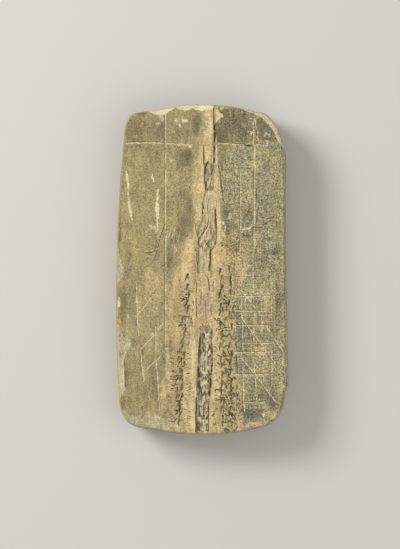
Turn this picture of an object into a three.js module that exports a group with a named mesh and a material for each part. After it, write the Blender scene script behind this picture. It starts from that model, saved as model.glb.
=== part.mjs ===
// Cuneiform tablet: one flat stone slab with rounded corners, lying on its back.
// Millimetres, +Z up out of the written face, +Y towards the head of the text.
// The origin is the middle of the slab's outline, on the plane it rests on.
import * as THREE from "three";

// ---- Driving dimensions -------------------------------------------------------------------------
const length = 130; // head to foot
const width = 67.8; // across the written face
const thickness = 22; // at the crown of the face
const halfLength = length / 2;
const halfWidth = width / 2;

const girthHeight = 0.52 * thickness; // where the edge stands out furthest
const crown = { across: 1.5, along: 1.1 }; // rise of the face from its edges to its middle
const shoulderHeight = thickness - crown.across - crown.along;

// How far the face's rim stands inside the outline: the worn arris of each side.
const rimInset = { left: 0.8, foot: 1.3, right: 1.6, head: 1.0, headRightCorner: 2.7 };
const arrisSlope = 1.2; // drop of the arris for each millimetre of its inset
const sideBulge = 0.4; // the sides stand out this much from the foot of the arris to the girth
const backInset = 5; // the rounding under the slab, round its flat resting face

// The channel down the middle, from head to foot: a shallow start beside the ridge, a pit, shallow
// and rough stretches, a bridge of sound stone, and the long pit that runs out at the foot.
const wallRun = 0.35; // a wall is this wide from lip to floor
const channelStations = [
  { y: 49.5, left: 0.3, right: 4.4, depth: 0 },
  { y: 48.5, left: 0.3, right: 4.4, depth: 0.25 },
  { y: 42, left: 0.5, right: 4.3, depth: 0.25 },
  { y: 40.5, left: 0.6, right: 4.2, depth: 1.1 }, // first pit
  { y: 31.5, left: 1.4, right: 4.2, depth: 1.1 },
  { y: 29.5, left: 0.6, right: 5.3, depth: 0.4 },
  { y: 18.5, left: -0.4, right: 5.6, depth: 0.4 },
  { y: 16.5, left: -1.7, right: 5.6, depth: 0.65 },
  { y: 9.5, left: -1.5, right: 5.1, depth: 0.65 },
  { y: 7.5, left: -1.8, right: 3.5, depth: 0.8 },
  { y: -0.5, left: -1.7, right: 3.2, depth: 0.8 },
  { y: -2.5, left: -1.2, right: 2.9, depth: 0.1 }, // bridge
  { y: -22, left: -0.9, right: 2.9, depth: 0.1 },
  { y: -24, left: -0.8, right: 3.4, depth: 1.5 }, // long pit
  { y: -33, left: -1.55, right: 4.1, depth: 1.5 },
  { y: -39, left: -1.9, right: 4, depth: 1.5 },
  { y: -40.5, left: -1.95, right: 3.9, depth: 0.9 }, // a shelf left across it
  { y: -42.5, left: -2, right: 3.9, depth: 0.9 },
  { y: -44, left: -2.1, right: 3.8, depth: 1.35 },
  { y: -47.5, left: -2.1, right: 3.6, depth: 1.35 },
  { y: -50.5, left: -2.15, right: 2.7, depth: 1.3 },
  { y: -66, left: -2.2, right: 2.3, depth: 1.3 },
];

// The ridge that carries the channel's line up to the head, steep on its right side.
const ridge = { height: 0.75, run: 6.2, footY: 40, fade: 6 };
const valley = { depth: 0.45, offset: -6.6, halfWidth: 3, footY: 20, fade: 14 };

// The worn bed in which the text stands, from where it widens down to the foot.
const bed = { depth: 0.3, headY: 14, fade: 6, edgeRun: 1.6 };
const bedStations = [
  { y: 20, left: -3, right: 7.4 },
  { y: 13, left: -6.5, right: 12 },
  { y: 6, left: -11, right: 21 },
  { y: 0, left: -11, right: 18.5 },
  { y: -5, left: -12.5, right: 14.5 },
  { y: -27, left: -12, right: 12.6 },
  { y: -31, left: -11.5, right: 10.6 },
  { y: -50, left: -13.2, right: 13.6 },
  { y: -66, left: -16, right: 20 },
];

// Flakes struck off the rim: centre, half sizes across and along, and depth.
const flakes = [
  { x: -16, y: 64.6, rx: 6.2, ry: 3.8, depth: 1.2 }, // head, left of the middle
  { x: -2.9, y: 66, rx: 7.6, ry: 3.5, depth: 1.4 }, // head, middle
  { x: 5.4, y: 60.6, rx: 2.9, ry: 3.8, depth: 0.5 }, // head, beside the ridge
  { x: -34.3, y: -27.8, rx: 5.8, ry: 6, depth: 0.9 }, // left side
  { x: -34.3, y: -42, rx: 3.8, ry: 11, depth: 1.3 },
  { x: -34.6, y: 0.5, rx: 3.6, ry: 5.5, depth: 0.7 },
];

// ---- Fineness of the mesh -----------------------------------------------------------------------
const columns = { leftPlate: 15, insideChannel: 4, rightPlate: 15 };
const rows = 64;
const rowCrowding = 0.35; // how much closer together the rows come at head and foot, from 0 to 1
const outlineFineness = 40; // samples per curve when the outline is measured
const softTurn = 2.5; // the outward direction is taken over this much of the outline on each side
const arrisTurns = [30, 60, 90]; // degrees round the arris, from the face's rim to its foot
const lowerTurns = [28, 52, 72, 90]; // degrees from the girth round to the resting face

// ---- Small helpers ------------------------------------------------------------------------------
const mix = THREE.MathUtils.lerp;
const smoothStep = THREE.MathUtils.smoothstep;

// Value at y of a quantity given at stations that run from head to foot.
function alongStations(stations, key, y) {
  if (y >= stations[0].y) return stations[0][key];
  for (let i = 1; i < stations.length; i++) {
    const upper = stations[i - 1];
    const lower = stations[i];
    if (y >= lower.y) {
      return mix(lower[key], upper[key], (y - lower.y) / (upper.y - lower.y));
    }
  }
  return stations[stations.length - 1][key];
}

// ---- Outline ------------------------------------------------------------------------------------
// Bows the path from where it is through a middle point to an end point.
function bow(path, middle, end) {
  const start = path.currentPoint;
  const controlX = 2 * middle[0] - (start.x + end[0]) / 2;
  const controlY = 2 * middle[1] - (start.y + end[1]) / 2;
  path.quadraticCurveTo(controlX, controlY, end[0], end[1]);
}

// One closed path, anticlockwise from the head end of the left side: four bowed sides and four
// rounded corners, no two alike, with a short break in the right side near the foot.
function makeOutline() {
  const path = new THREE.Path();
  path.moveTo(-30.9, 52.5);
  bow(path, [-halfWidth, 0.3], [-32.8, -51.3]); // left side, bellied
  bow(path, [-30.3, -59], [-24.5, -62.2]); // foot, left corner
  bow(path, [1.5, -halfLength], [24.3, -61.8]); // foot
  bow(path, [30.3, -57.2], [32.5, -48.4]); // foot, right corner
  path.lineTo(halfWidth, -45.3); // the break
  bow(path, [33.1, -1], [33, 43.5]); // right side
  bow(path, [32.4, 47.3], [31.4, 50.6]);
  bow(path, [29.3, 56.3], [25.9, 60.6]); // head, right corner, the widest
  bow(path, [23.9, 61.7], [21.2, 62.1]);
  bow(path, [11, 64.3], [-1, halfLength]); // head
  bow(path, [-6.5, 64.9], [-10.2, 64.3]);
  bow(path, [-15.5, 63.3], [-25.7, 61.9]); // head, lower where it is flaked
  bow(path, [-29.5, 59.1], [-30.9, 52.5]); // head, left corner
  path.arcLengthDivisions = outlineFineness * path.curves.length;
  return path;
}

const outline = makeOutline();
const outlineLength = outline.getLength();
const curveEnds = outline.getCurveLengths(); // running length at the end of each curve

// The middle of a corner curve, as a length along the outline.
function middleOfCurve(index) {
  return (curveEnds[index - 1] + curveEnds[index]) / 2;
}
const corner = {
  footLeft: middleOfCurve(1),
  footRight: middleOfCurve(3),
  headRight: middleOfCurve(7),
  headLeft: middleOfCurve(12),
};

function pointAt(run) {
  return outline.getPointAt(THREE.MathUtils.euclideanModulo(run, outlineLength) / outlineLength);
}

// A place on the outline and the direction out of it, which turns softly where two bows meet.
function outlineAt(run) {
  const tangent = pointAt(run + softTurn).sub(pointAt(run - softTurn)).normalize();
  return { point: pointAt(run), outward: new THREE.Vector2(tangent.y, -tangent.x) };
}

// Inset of the face's rim at a place on the outline.
function rimInsetAt(point, outward) {
  const across = outward.x > 0 ? rimInset.right : rimInset.left;
  const along = outward.y > 0 ? rimInset.head : rimInset.foot;
  const plain = mix(along, across, outward.x * outward.x);
  const cornerShare = Math.max(0, outward.x) * Math.max(0, outward.y) * 2;
  return mix(plain, rimInset.headRightCorner, cornerShare * cornerShare);
}

// ---- The written face ---------------------------------------------------------------------------
function channelWalls(y) {
  return {
    left: alongStations(channelStations, "left", y),
    right: alongStations(channelStations, "right", y),
  };
}

function bedDepth(x, y) {
  const left = alongStations(bedStations, "left", y);
  const right = alongStations(bedStations, "right", y);
  const inFromLeft = smoothStep(x, left - bed.edgeRun / 2, left + bed.edgeRun / 2);
  const inFromRight = smoothStep(-x, -right - bed.edgeRun, -right + bed.edgeRun);
  return bed.depth * inFromLeft * inFromRight * smoothStep(-y, -bed.headY - bed.fade, -bed.headY);
}

// Height of the ridge, and of the soft valley on its left, above the plain face.
function ridgeHeight(x, y) {
  const { right } = channelWalls(y);
  const up = ridge.height * smoothStep(y, ridge.footY - ridge.fade, ridge.footY);
  const drop = smoothStep(x, right, right + wallRun);
  const rise = smoothStep(x, right - ridge.run, right - 1) * (1 - drop);
  const fromValley = (x - right - valley.offset) / valley.halfWidth;
  const valleyShare = smoothStep(y, valley.footY - valley.fade, valley.footY);
  return up * rise - valley.depth * valleyShare * Math.exp(-fromValley * fromValley);
}

function channelDepth(x, y) {
  const { left, right } = channelWalls(y);
  const fromLeft = smoothStep(x, left, left + wallRun);
  const fromRight = smoothStep(-x, -right, -right + wallRun);
  return alongStations(channelStations, "depth", y) * fromLeft * fromRight;
}

function flakeDepth(x, y) {
  let depth = 0;
  for (const flake of flakes) {
    const across = (x - flake.x) / flake.rx;
    const along = (y - flake.y) / flake.ry;
    const scoop = flake.depth * (1 - across * across - along * along);
    depth = Math.max(depth, scoop);
  }
  return depth;
}

function faceHeight(x, y) {
  const across = x / halfWidth;
  const along = y / halfLength;
  const plain = shoulderHeight + crown.across * (1 - across * across) + crown.along * (1 - along * along);
  return plain + ridgeHeight(x, y) - bedDepth(x, y) - channelDepth(x, y) - flakeDepth(x, y);
}

// ---- The grid over the face ---------------------------------------------------------------------
function rimPoint(fromRun, toRun, share) {
  const { point, outward } = outlineAt(mix(fromRun, toRun, share));
  return point.clone().addScaledVector(outward, -rimInsetAt(point, outward));
}

// A Coons patch between the four stretches of the rim; u runs to the right and v to the head.
function patchPoint(u, v) {
  const foot = (share) => rimPoint(corner.footLeft, corner.footRight, share);
  const head = (share) => rimPoint(corner.headLeft, corner.headRight, share);
  const left = (share) => rimPoint(corner.footLeft + outlineLength, corner.headLeft, share);
  const right = (share) => rimPoint(corner.footRight, corner.headRight, share);
  const ruled = (key) =>
    mix(foot(u)[key], head(u)[key], v) +
    mix(left(v)[key], right(v)[key], u) -
    mix(mix(foot(0)[key], foot(1)[key], u), mix(head(0)[key], head(1)[key], u), v);
  return new THREE.Vector2(ruled("x"), ruled("y"));
}

// Column places across the patch, closer together near the channel and at the rim.
function columnShares() {
  const { leftPlate, insideChannel, rightPlate } = columns;
  const shares = [];
  for (let i = 0; i < leftPlate; i++) {
    shares.push(0.48 * Math.sin((Math.PI / 2) * (i / leftPlate)));
  }
  for (let i = 0; i <= insideChannel + 2; i++) {
    shares.push(0.48 + (0.06 * i) / (insideChannel + 2));
  }
  for (let i = 1; i <= rightPlate; i++) {
    shares.push(0.54 + 0.46 * (1 - Math.cos((Math.PI / 2) * (i / rightPlate))));
  }
  return shares;
}

// Slides a row's points sideways so that two of its columns lie on each wall of the channel.
function fitRowToChannel(row, firstWall) {
  const lastWall = firstWall + columns.insideChannel + 2;
  const walls = channelWalls(row[firstWall].y);
  const start = row[0].x;
  const end = row[row.length - 1].x;
  const plainLeft = row[firstWall].x;
  const plainRight = row[lastWall].x;
  const floorLeft = walls.left + wallRun;
  const floorRight = walls.right - wallRun;
  row.forEach((point, i) => {
    if (i < firstWall) {
      point.x = mix(start, walls.left, (point.x - start) / (plainLeft - start));
    } else if (i > lastWall) {
      point.x = mix(walls.right, end, (point.x - plainRight) / (end - plainRight));
    } else if (i === firstWall || i === lastWall) {
      point.x = i === firstWall ? walls.left : walls.right;
    } else {
      point.x = mix(floorLeft, floorRight, (i - firstWall - 1) / columns.insideChannel);
    }
  });
}

// Row places up the patch, a little closer together at head and foot.
function rowShare(j) {
  const crowded = (1 - Math.cos(Math.PI * (j / rows))) / 2;
  return mix(j / rows, crowded, rowCrowding);
}

function faceGrid() {
  const shares = columnShares();
  const grid = [];
  for (let j = 0; j <= rows; j++) {
    const row = shares.map((u) => patchPoint(u, rowShare(j)));
    const insideRow = j > 0 && j < rows;
    if (insideRow) fitRowToChannel(row, columns.leftPlate);
    grid.push(row);
  }
  return grid;
}

// ---- The slab -----------------------------------------------------------------------------------
class SlabMesh {
  constructor() {
    this.positions = [];
    this.triangles = [];
  }
  vertex(x, y, z) {
    this.positions.push(x, y, z);
    return this.positions.length / 3 - 1;
  }
  quad(a, b, c, d) {
    this.triangles.push(a, b, c, a, c, d);
  }
  geometry() {
    const made = new THREE.BufferGeometry();
    made.setAttribute("position", new THREE.Float32BufferAttribute(this.positions, 3));
    made.setIndex(this.triangles);
    made.computeVertexNormals();
    return made;
  }
}

// Adds the face and gives its rim back as a closed loop of vertex numbers, anticlockwise.
function addFace(slab) {
  const grid = faceGrid();
  const ids = grid.map((row) => row.map((p) => slab.vertex(p.x, p.y, faceHeight(p.x, p.y))));
  const lastColumn = grid[0].length - 1;
  for (let j = 0; j < rows; j++) {
    for (let i = 0; i < lastColumn; i++) {
      slab.quad(ids[j][i], ids[j][i + 1], ids[j + 1][i + 1], ids[j + 1][i]);
    }
  }
  const loop = [];
  for (let i = 0; i < lastColumn; i++) loop.push(ids[0][i]);
  for (let j = 0; j < rows; j++) loop.push(ids[j][lastColumn]);
  for (let i = lastColumn; i > 0; i--) loop.push(ids[rows][i]);
  for (let j = rows; j > 0; j--) loop.push(ids[j][0]);
  return loop;
}

// The place on the outline that each vertex of the rim was set in from, in the same order.
function loopOnOutline() {
  const shares = columnShares();
  const lastColumn = shares.length - 1;
  const places = [];
  const place = (from, to, share) => places.push(outlineAt(mix(from, to, share)));
  for (let i = 0; i < lastColumn; i++) place(corner.footLeft, corner.footRight, shares[i]);
  for (let j = 0; j < rows; j++) place(corner.footRight, corner.headRight, rowShare(j));
  for (let i = lastColumn; i > 0; i--) place(corner.headLeft, corner.headRight, shares[i]);
  for (let j = rows; j > 0; j--) {
    place(corner.footLeft + outlineLength, corner.headLeft, rowShare(j));
  }
  return places;
}

function addRing(slab, previous, makePoint) {
  const ring = previous.map((id, i) => slab.vertex(...makePoint(i)));
  const count = ring.length;
  for (let i = 0; i < count; i++) {
    const next = (i + 1) % count;
    slab.quad(previous[i], ring[i], ring[next], previous[next]);
  }
  return ring;
}

// The edge from the rim round the worn arris, down the bulging side to the girth, then under the
// slab to its resting face.
function addEdge(slab, rim) {
  const places = loopOnOutline();
  const rimHeights = rim.map((id) => slab.positions[3 * id + 2]);
  const insets = places.map(({ point, outward }) => rimInsetAt(point, outward));
  const setIn = (i, inset, height) => {
    const at = places[i].point.clone().addScaledVector(places[i].outward, -inset);
    return [at.x, at.y, height];
  };
  let ring = rim;
  for (const degrees of arrisTurns) {
    const turn = THREE.MathUtils.degToRad(degrees);
    ring = addRing(slab, ring, (i) => {
      const inset = mix(insets[i], sideBulge, Math.sin(turn));
      const drop = arrisSlope * insets[i] * (1 - Math.cos(turn));
      return setIn(i, inset, rimHeights[i] - drop);
    });
  }
  ring = addRing(slab, ring, (i) => setIn(i, 0, girthHeight));
  for (const degrees of lowerTurns) {
    const turn = THREE.MathUtils.degToRad(degrees);
    const height = degrees === 90 ? 0 : girthHeight * (1 - Math.sin(turn));
    ring = addRing(slab, ring, (i) => setIn(i, backInset * (1 - Math.cos(turn)), height));
  }
  return ring;
}

function addRestingFace(slab, ring) {
  const corners = ring.map((id) => new THREE.Vector2(slab.positions[3 * id], slab.positions[3 * id + 1]));
  for (const [a, b, c] of THREE.ShapeUtils.triangulateShape(corners, [])) {
    slab.triangles.push(ring[a], ring[c], ring[b]); // faces down
  }
}

function makeTablet() {
  const slab = new SlabMesh();
  const rim = addFace(slab);
  const backRing = addEdge(slab, rim);
  addRestingFace(slab, backRing);
  const geometry = slab.geometry();
  geometry.computeBoundingBox();
  const middle = geometry.boundingBox.getCenter(new THREE.Vector3());
  const stone = new THREE.MeshStandardMaterial({ color: 0xa4966d, roughness: 0.85, metalness: 0 });
  const tablet = new THREE.Mesh(geometry, stone);
  tablet.name = "tablet";
  tablet.position.set(-middle.x, -middle.y, 0);
  return tablet;
}

const part = new THREE.Group();
part.add(makeTablet());

export default part;
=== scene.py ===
# Cuneiform tablet of fine-grained stone, lying on its back.
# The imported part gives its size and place. This script gives its relief and its finish.
import math
import bpy
import numpy as np
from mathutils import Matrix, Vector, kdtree


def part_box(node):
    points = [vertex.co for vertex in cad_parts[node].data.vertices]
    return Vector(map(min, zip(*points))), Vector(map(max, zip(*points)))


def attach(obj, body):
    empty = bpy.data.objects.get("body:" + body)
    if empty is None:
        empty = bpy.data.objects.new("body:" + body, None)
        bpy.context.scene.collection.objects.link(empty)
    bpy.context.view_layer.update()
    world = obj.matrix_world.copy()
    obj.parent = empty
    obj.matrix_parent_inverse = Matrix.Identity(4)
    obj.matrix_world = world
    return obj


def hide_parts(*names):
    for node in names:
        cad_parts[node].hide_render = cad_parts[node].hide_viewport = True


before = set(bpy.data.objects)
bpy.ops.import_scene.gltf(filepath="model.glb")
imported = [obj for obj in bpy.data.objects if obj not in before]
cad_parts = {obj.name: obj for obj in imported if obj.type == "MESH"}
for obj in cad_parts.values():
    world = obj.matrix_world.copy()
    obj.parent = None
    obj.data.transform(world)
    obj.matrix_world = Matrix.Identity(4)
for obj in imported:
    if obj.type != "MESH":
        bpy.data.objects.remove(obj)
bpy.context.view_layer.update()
lowest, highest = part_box("tablet")
mm = 0.001  # Blender works in metres, the dictionaries below in millimetres
halfWidth = (highest.x - lowest.x) / 2 / mm
halfLength = (highest.y - lowest.y) / 2 / mm
thickness = (highest.z - lowest.z) / mm
print("frame loaded: %.1f x %.1f x %.1f mm" % (2 * halfWidth, 2 * halfLength, thickness))


def smoothStep(x, low, high):
    t = np.clip((x - low) / (high - low), 0, 1)
    return t * t * (3 - 2 * t)


def along(stations, column, y):  # value at y from rows (y, ...) that run from head to foot
    table = np.array(stations)[::-1]
    return np.interp(y, table[:, 0], table[:, column])


def waver(x, y, size, seed):  # smooth seeded noise from -1 to 1, with bumps about size mm apart
    table = np.random.default_rng(seed).uniform(-1, 1, (97, 89))
    u, v = x / size + 1000, y / size + 1000
    i, j = np.floor(u).astype(int), np.floor(v).astype(int)
    s, t = u - i, v - j
    s, t = s * s * (3 - 2 * s), t * t * (3 - 2 * t)
    def corner(a, b):
        return table[(i + a) % 97, (j + b) % 89]
    low = corner(0, 0) * (1 - s) + corner(1, 0) * s
    high = corner(0, 1) * (1 - s) + corner(1, 1) * s
    return low * (1 - t) + high * t


def addNode(tree, kind, inputs=None, **settings):  # one node, with its settings and links
    node = tree.nodes.new(kind)
    for name, value in settings.items():
        setattr(node, name, value)
    for key, value in (inputs or {}).items():
        if isinstance(value, bpy.types.NodeSocket):
            tree.links.new(value, node.inputs[key])
        else:
            node.inputs[key].default_value = value
    return node


def hexColour(text):  # sRGB hex to linear RGBA
    parts = [int(text[k:k + 2], 16) / 255 for k in (1, 3, 5)]
    linear = [p / 12.92 if p <= 0.04045 else ((p + 0.055) / 1.055) ** 2.4 for p in parts]
    return (*linear, 1)


def meshObject(name, points, faces=(), edges=()):
    mesh = bpy.data.meshes.new(name)
    mesh.from_pydata([tuple(p) for p in points], list(edges), list(faces))
    made = bpy.data.objects.new(name, mesh)
    bpy.context.scene.collection.objects.link(made)
    return made


def setAttribute(mesh, name, values):
    mesh.attributes.new(name, "FLOAT", "POINT").data.foreach_set("value", np.asarray(values, np.float32))


view = {
    "centre": (-0.9, -1.9),   # mm, middle of the picture on the tablet
    "heightSeen": 216.3,      # mm of tablet plane from the top of the picture to the bottom
    "lens": 360,              # mm, long, so that the sides stay out of sight
}


def makeCamera():
    data = bpy.data.cameras.new("camera")
    data.lens = view["lens"]
    data.sensor_width = 36
    data.clip_end = 10
    distance = view["heightSeen"] * view["lens"] / data.sensor_width
    camera = bpy.data.objects.new("camera", data)
    x, y = view["centre"]
    camera.location = (x * mm, y * mm, (distance + thickness / 2) * mm)
    bpy.context.scene.collection.objects.link(camera)
    bpy.context.scene.camera = camera


makeCamera()
print("camera placed")


slab = {
    "girth": 0.52 * thickness,       # height where the sides stand out furthest
    "crownAcross": 1.5, "crownAlong": 1.1,
    "insetLeft": 0.8, "insetFoot": 1.3, "insetRight": 1.6, "insetHead": 1.0, "insetCorner": 1.5,
    "arrisSlope": 1.2, "sideBulge": 0.4, "backInset": 5.0,
    "wallRun": 0.35, "paleRim": 0.9,
    "finePitch": 0.19, "plainPitch": 0.36, "sidePitch": 0.7,
}

# outline: the first point, then for each curve the point it passes and the point it ends at
outlineStart = (-30.9, 52.5)
outlineCurves = [
    ((-halfWidth, 0.3), (-32.8, -51.3)),       # left side
    ((-30.3, -59.0), (-24.5, -62.2)),          # corner
    ((1.5, -halfLength), (24.3, -61.8)),       # foot
    ((30.3, -57.2), (32.5, -48.4)),            # corner
    ((33.2, -46.8), (halfWidth, -45.3)),       # small break
    ((33.1, -1.0), (33.0, 43.5)),              # right side
    ((32.4, 47.3), (31.4, 50.6)),
    ((29.3, 56.3), (25.9, 60.6)),              # corner, the widest
    ((23.9, 61.7), (21.2, 62.1)),
    ((11.0, 64.3), (-1.0, halfLength)),        # head
    ((-6.5, 64.9), (-10.2, 64.3)),
    ((-15.5, 63.3), (-25.7, 61.9)),            # lower where it is flaked
    ((-29.5, 59.1), (-30.9, 52.5)),            # corner
]
cornerCurves = {"footLeft": 1, "footRight": 3, "headRight": 7, "headLeft": 12}

# channel down the middle: y, left wall, right wall, depth
channelStations = [
    (49.5, 0.3, 4.4, 0.0), (48.5, 0.3, 4.4, 0.25), (42.0, 0.5, 4.3, 0.25),
    (40.5, 0.6, 4.2, 1.1), (31.5, 1.4, 4.2, 1.1), (29.5, 0.6, 5.3, 0.4),
    (18.5, -0.4, 5.6, 0.4), (16.5, -1.7, 5.6, 0.65), (9.5, -1.5, 5.1, 0.65),
    (7.5, -1.8, 3.5, 0.8), (-0.5, -1.7, 3.2, 0.8), (-2.5, -1.2, 2.9, 0.1),
    (-22.0, -0.9, 2.9, 0.1), (-24.0, -0.8, 3.4, 1.5), (-33.0, -1.55, 4.1, 1.5),
    (-39.0, -1.9, 4.0, 1.5), (-40.5, -1.95, 3.9, 0.9), (-42.5, -2.0, 3.9, 0.9),
    (-44.0, -2.1, 3.8, 1.35), (-47.5, -2.1, 3.6, 1.35), (-50.5, -2.15, 2.7, 1.3),
    (-66.0, -2.2, 2.3, 1.3),
]
# rough floor of the channel: y, how rough from 0 to 1
roughStations = [(50, 0), (42, 0.1), (40.5, 0.8), (31, 0.8), (29, 0.35), (18, 0.35), (16, 0.8), (8, 0.6),
                 (6, 0.2), (-1, 0.2), (-3, 0.1), (-22, 0.15), (-24.5, 1), (-66, 1)]
ridge = {"height": 0.75, "run": 6.2, "footY": 40.0, "fade": 6.0}
valley = {"depth": 0.45, "offset": -6.6, "halfWidth": 3.0, "footY": 20.0, "fade": 14.0}

# worn bed round the channel: y, left edge, right edge, and how softly each fades
bedStations = [
    (66, 1.0, 4.4, 1.6, 0.5), (56, 0.9, 4.4, 1.6, 0.5), (50, 0.0, 5.5, 1.6, 0.5),
    (47, -1.2, 5.8, 1.6, 0.5), (43, -2.6, 5.7, 3.0, 0.6), (40, -3.1, 6.4, 3.4, 0.6),
    (36, -3.1, 6.8, 3.4, 0.6), (30, -3.3, 7.2, 3.4, 0.7), (26, -3.3, 7.2, 3.0, 0.7),
    (24, -2.9, 7.0, 3.0, 0.7), (19, -2.7, 7.0, 1.0, 1.0), (15.5, -4.2, 8.0, 1.2, 2.6),
    (13, -5.6, 12.0, 1.4, 4.0), (11, -6.8, 17.0, 1.6, 5.0), (6, -8.3, 19.0, 2.0, 6.0),
    (0, -10.0, 17.5, 2.6, 5.0), (-5, -12.5, 14.5, 3.0, 4.0), (-13, -13.5, 12.8, 3.0, 2.0),
    (-20, -13.5, 12.0, 3.0, 2.0), (-27, -12.0, 12.6, 3.0, 2.5), (-31, -11.5, 10.6, 2.8, 2.5),
    (-40, -13.8, 11.8, 2.0, 2.5), (-50, -13.2, 13.6, 2.0, 2.2), (-60, -15.0, 15.5, 2.5, 2.0),
    (-66, -16.0, 20.0, 2.5, 2.0),
]
bed = {"depth": 0.3, "headY": 14.0}

# flakes off the rim: depth, how chalky from 0 to 1, then the corners of the scar
flakes = [
    (1.2, 0, (-20.6, 61.9), (-19, 61.1), (-17, 60.6), (-15, 60.8), (-14.2, 61.3), (-12.2, 62.5),
     (-10, 64.3), (-10, 67), (-21, 67)),
    (0.8, 0.15, (-10.2, 64.2), (-9.6, 63), (-8.4, 62.9), (-7.4, 62.5), (-5.6, 62.7), (-3.9, 63.4),
     (-3, 62.9), (-1.6, 62.4), (1.8, 62.5), (4.3, 62.6), (4.3, 67), (-10.2, 67)),
    (0.4, 0.3, (4.6, 64.2), (5.8, 62.6), (6.8, 61.4), (8.3, 60.3), (7, 59.4), (5.4, 57.4), (4.6, 57)),
    (0.7, 0.2, (14, 63.8), (17, 62.2), (20, 61.3), (22.3, 60.2), (24, 58.9), (25.8, 57), (27.6, 54.9),
     (28.9, 52.3), (30, 50.2), (31.2, 48.6), (32.9, 45.5), (36, 45), (34, 60), (20, 68), (14, 68)),
    (0.9, 1, (-36, -21), (-33, -21.5), (-32.9, -23), (-32, -24.8), (-30.9, -25.9), (-29.2, -27.2),
     (-28.1, -28.6), (-28.5, -30.2), (-29.6, -31.6), (-30.4, -33.2), (-36, -33.4)),
    (1.1, 0.6, (-36, -32.6), (-30.4, -33), (-30.9, -36), (-30.6, -40), (-30.5, -44), (-30.3, -46.6),
     (-31, -48), (-31.9, -50), (-32.5, -51.8), (-36, -51.8)),
    (0.5, 1, (-36, 6), (-33, 5.8), (-31.8, 3.5), (-31, 0.5), (-31.2, -2), (-32, -4.2), (-33.2, -5),
     (-36, -5)),
]

# round lumps left standing: x, y, half size across, half size along, height
lumps = [(6.2, -45.8, 1.1, 0.9, 0.4), (7.1, -48.9, 1.3, 1.0, 0.45), (1.6, -40.6, 1.6, 1.0, 0.5),
         (16.5, 15.9, 2.4, 0.7, 0.3), (18.9, 15.0, 0.6, 1.3, 0.3), (2.5, 11.4, 0.6, 1.0, 0.4)]
hollows = [(17.4, 14.2, 1.7, 0.9, 0.35), (-1.7, -18.0, 0.8, 0.9, 0.4), (7.9, 9.7, 0.32, 0.6, 0.6),
           (13.4, -34.5, 0.8, 0.9, 0.4), (12.6, -15.4, 0.7, 1.0, 0.4), (-12.4, 4.6, 1.6, 1.6, 0.15),
           (13.2, -24.2, 0.7, 1.1, 0.4), (4.0, 34.6, 0.5, 0.7, 0.3), (13.6, -57.4, 0.6, 0.9, 0.4)]

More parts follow.
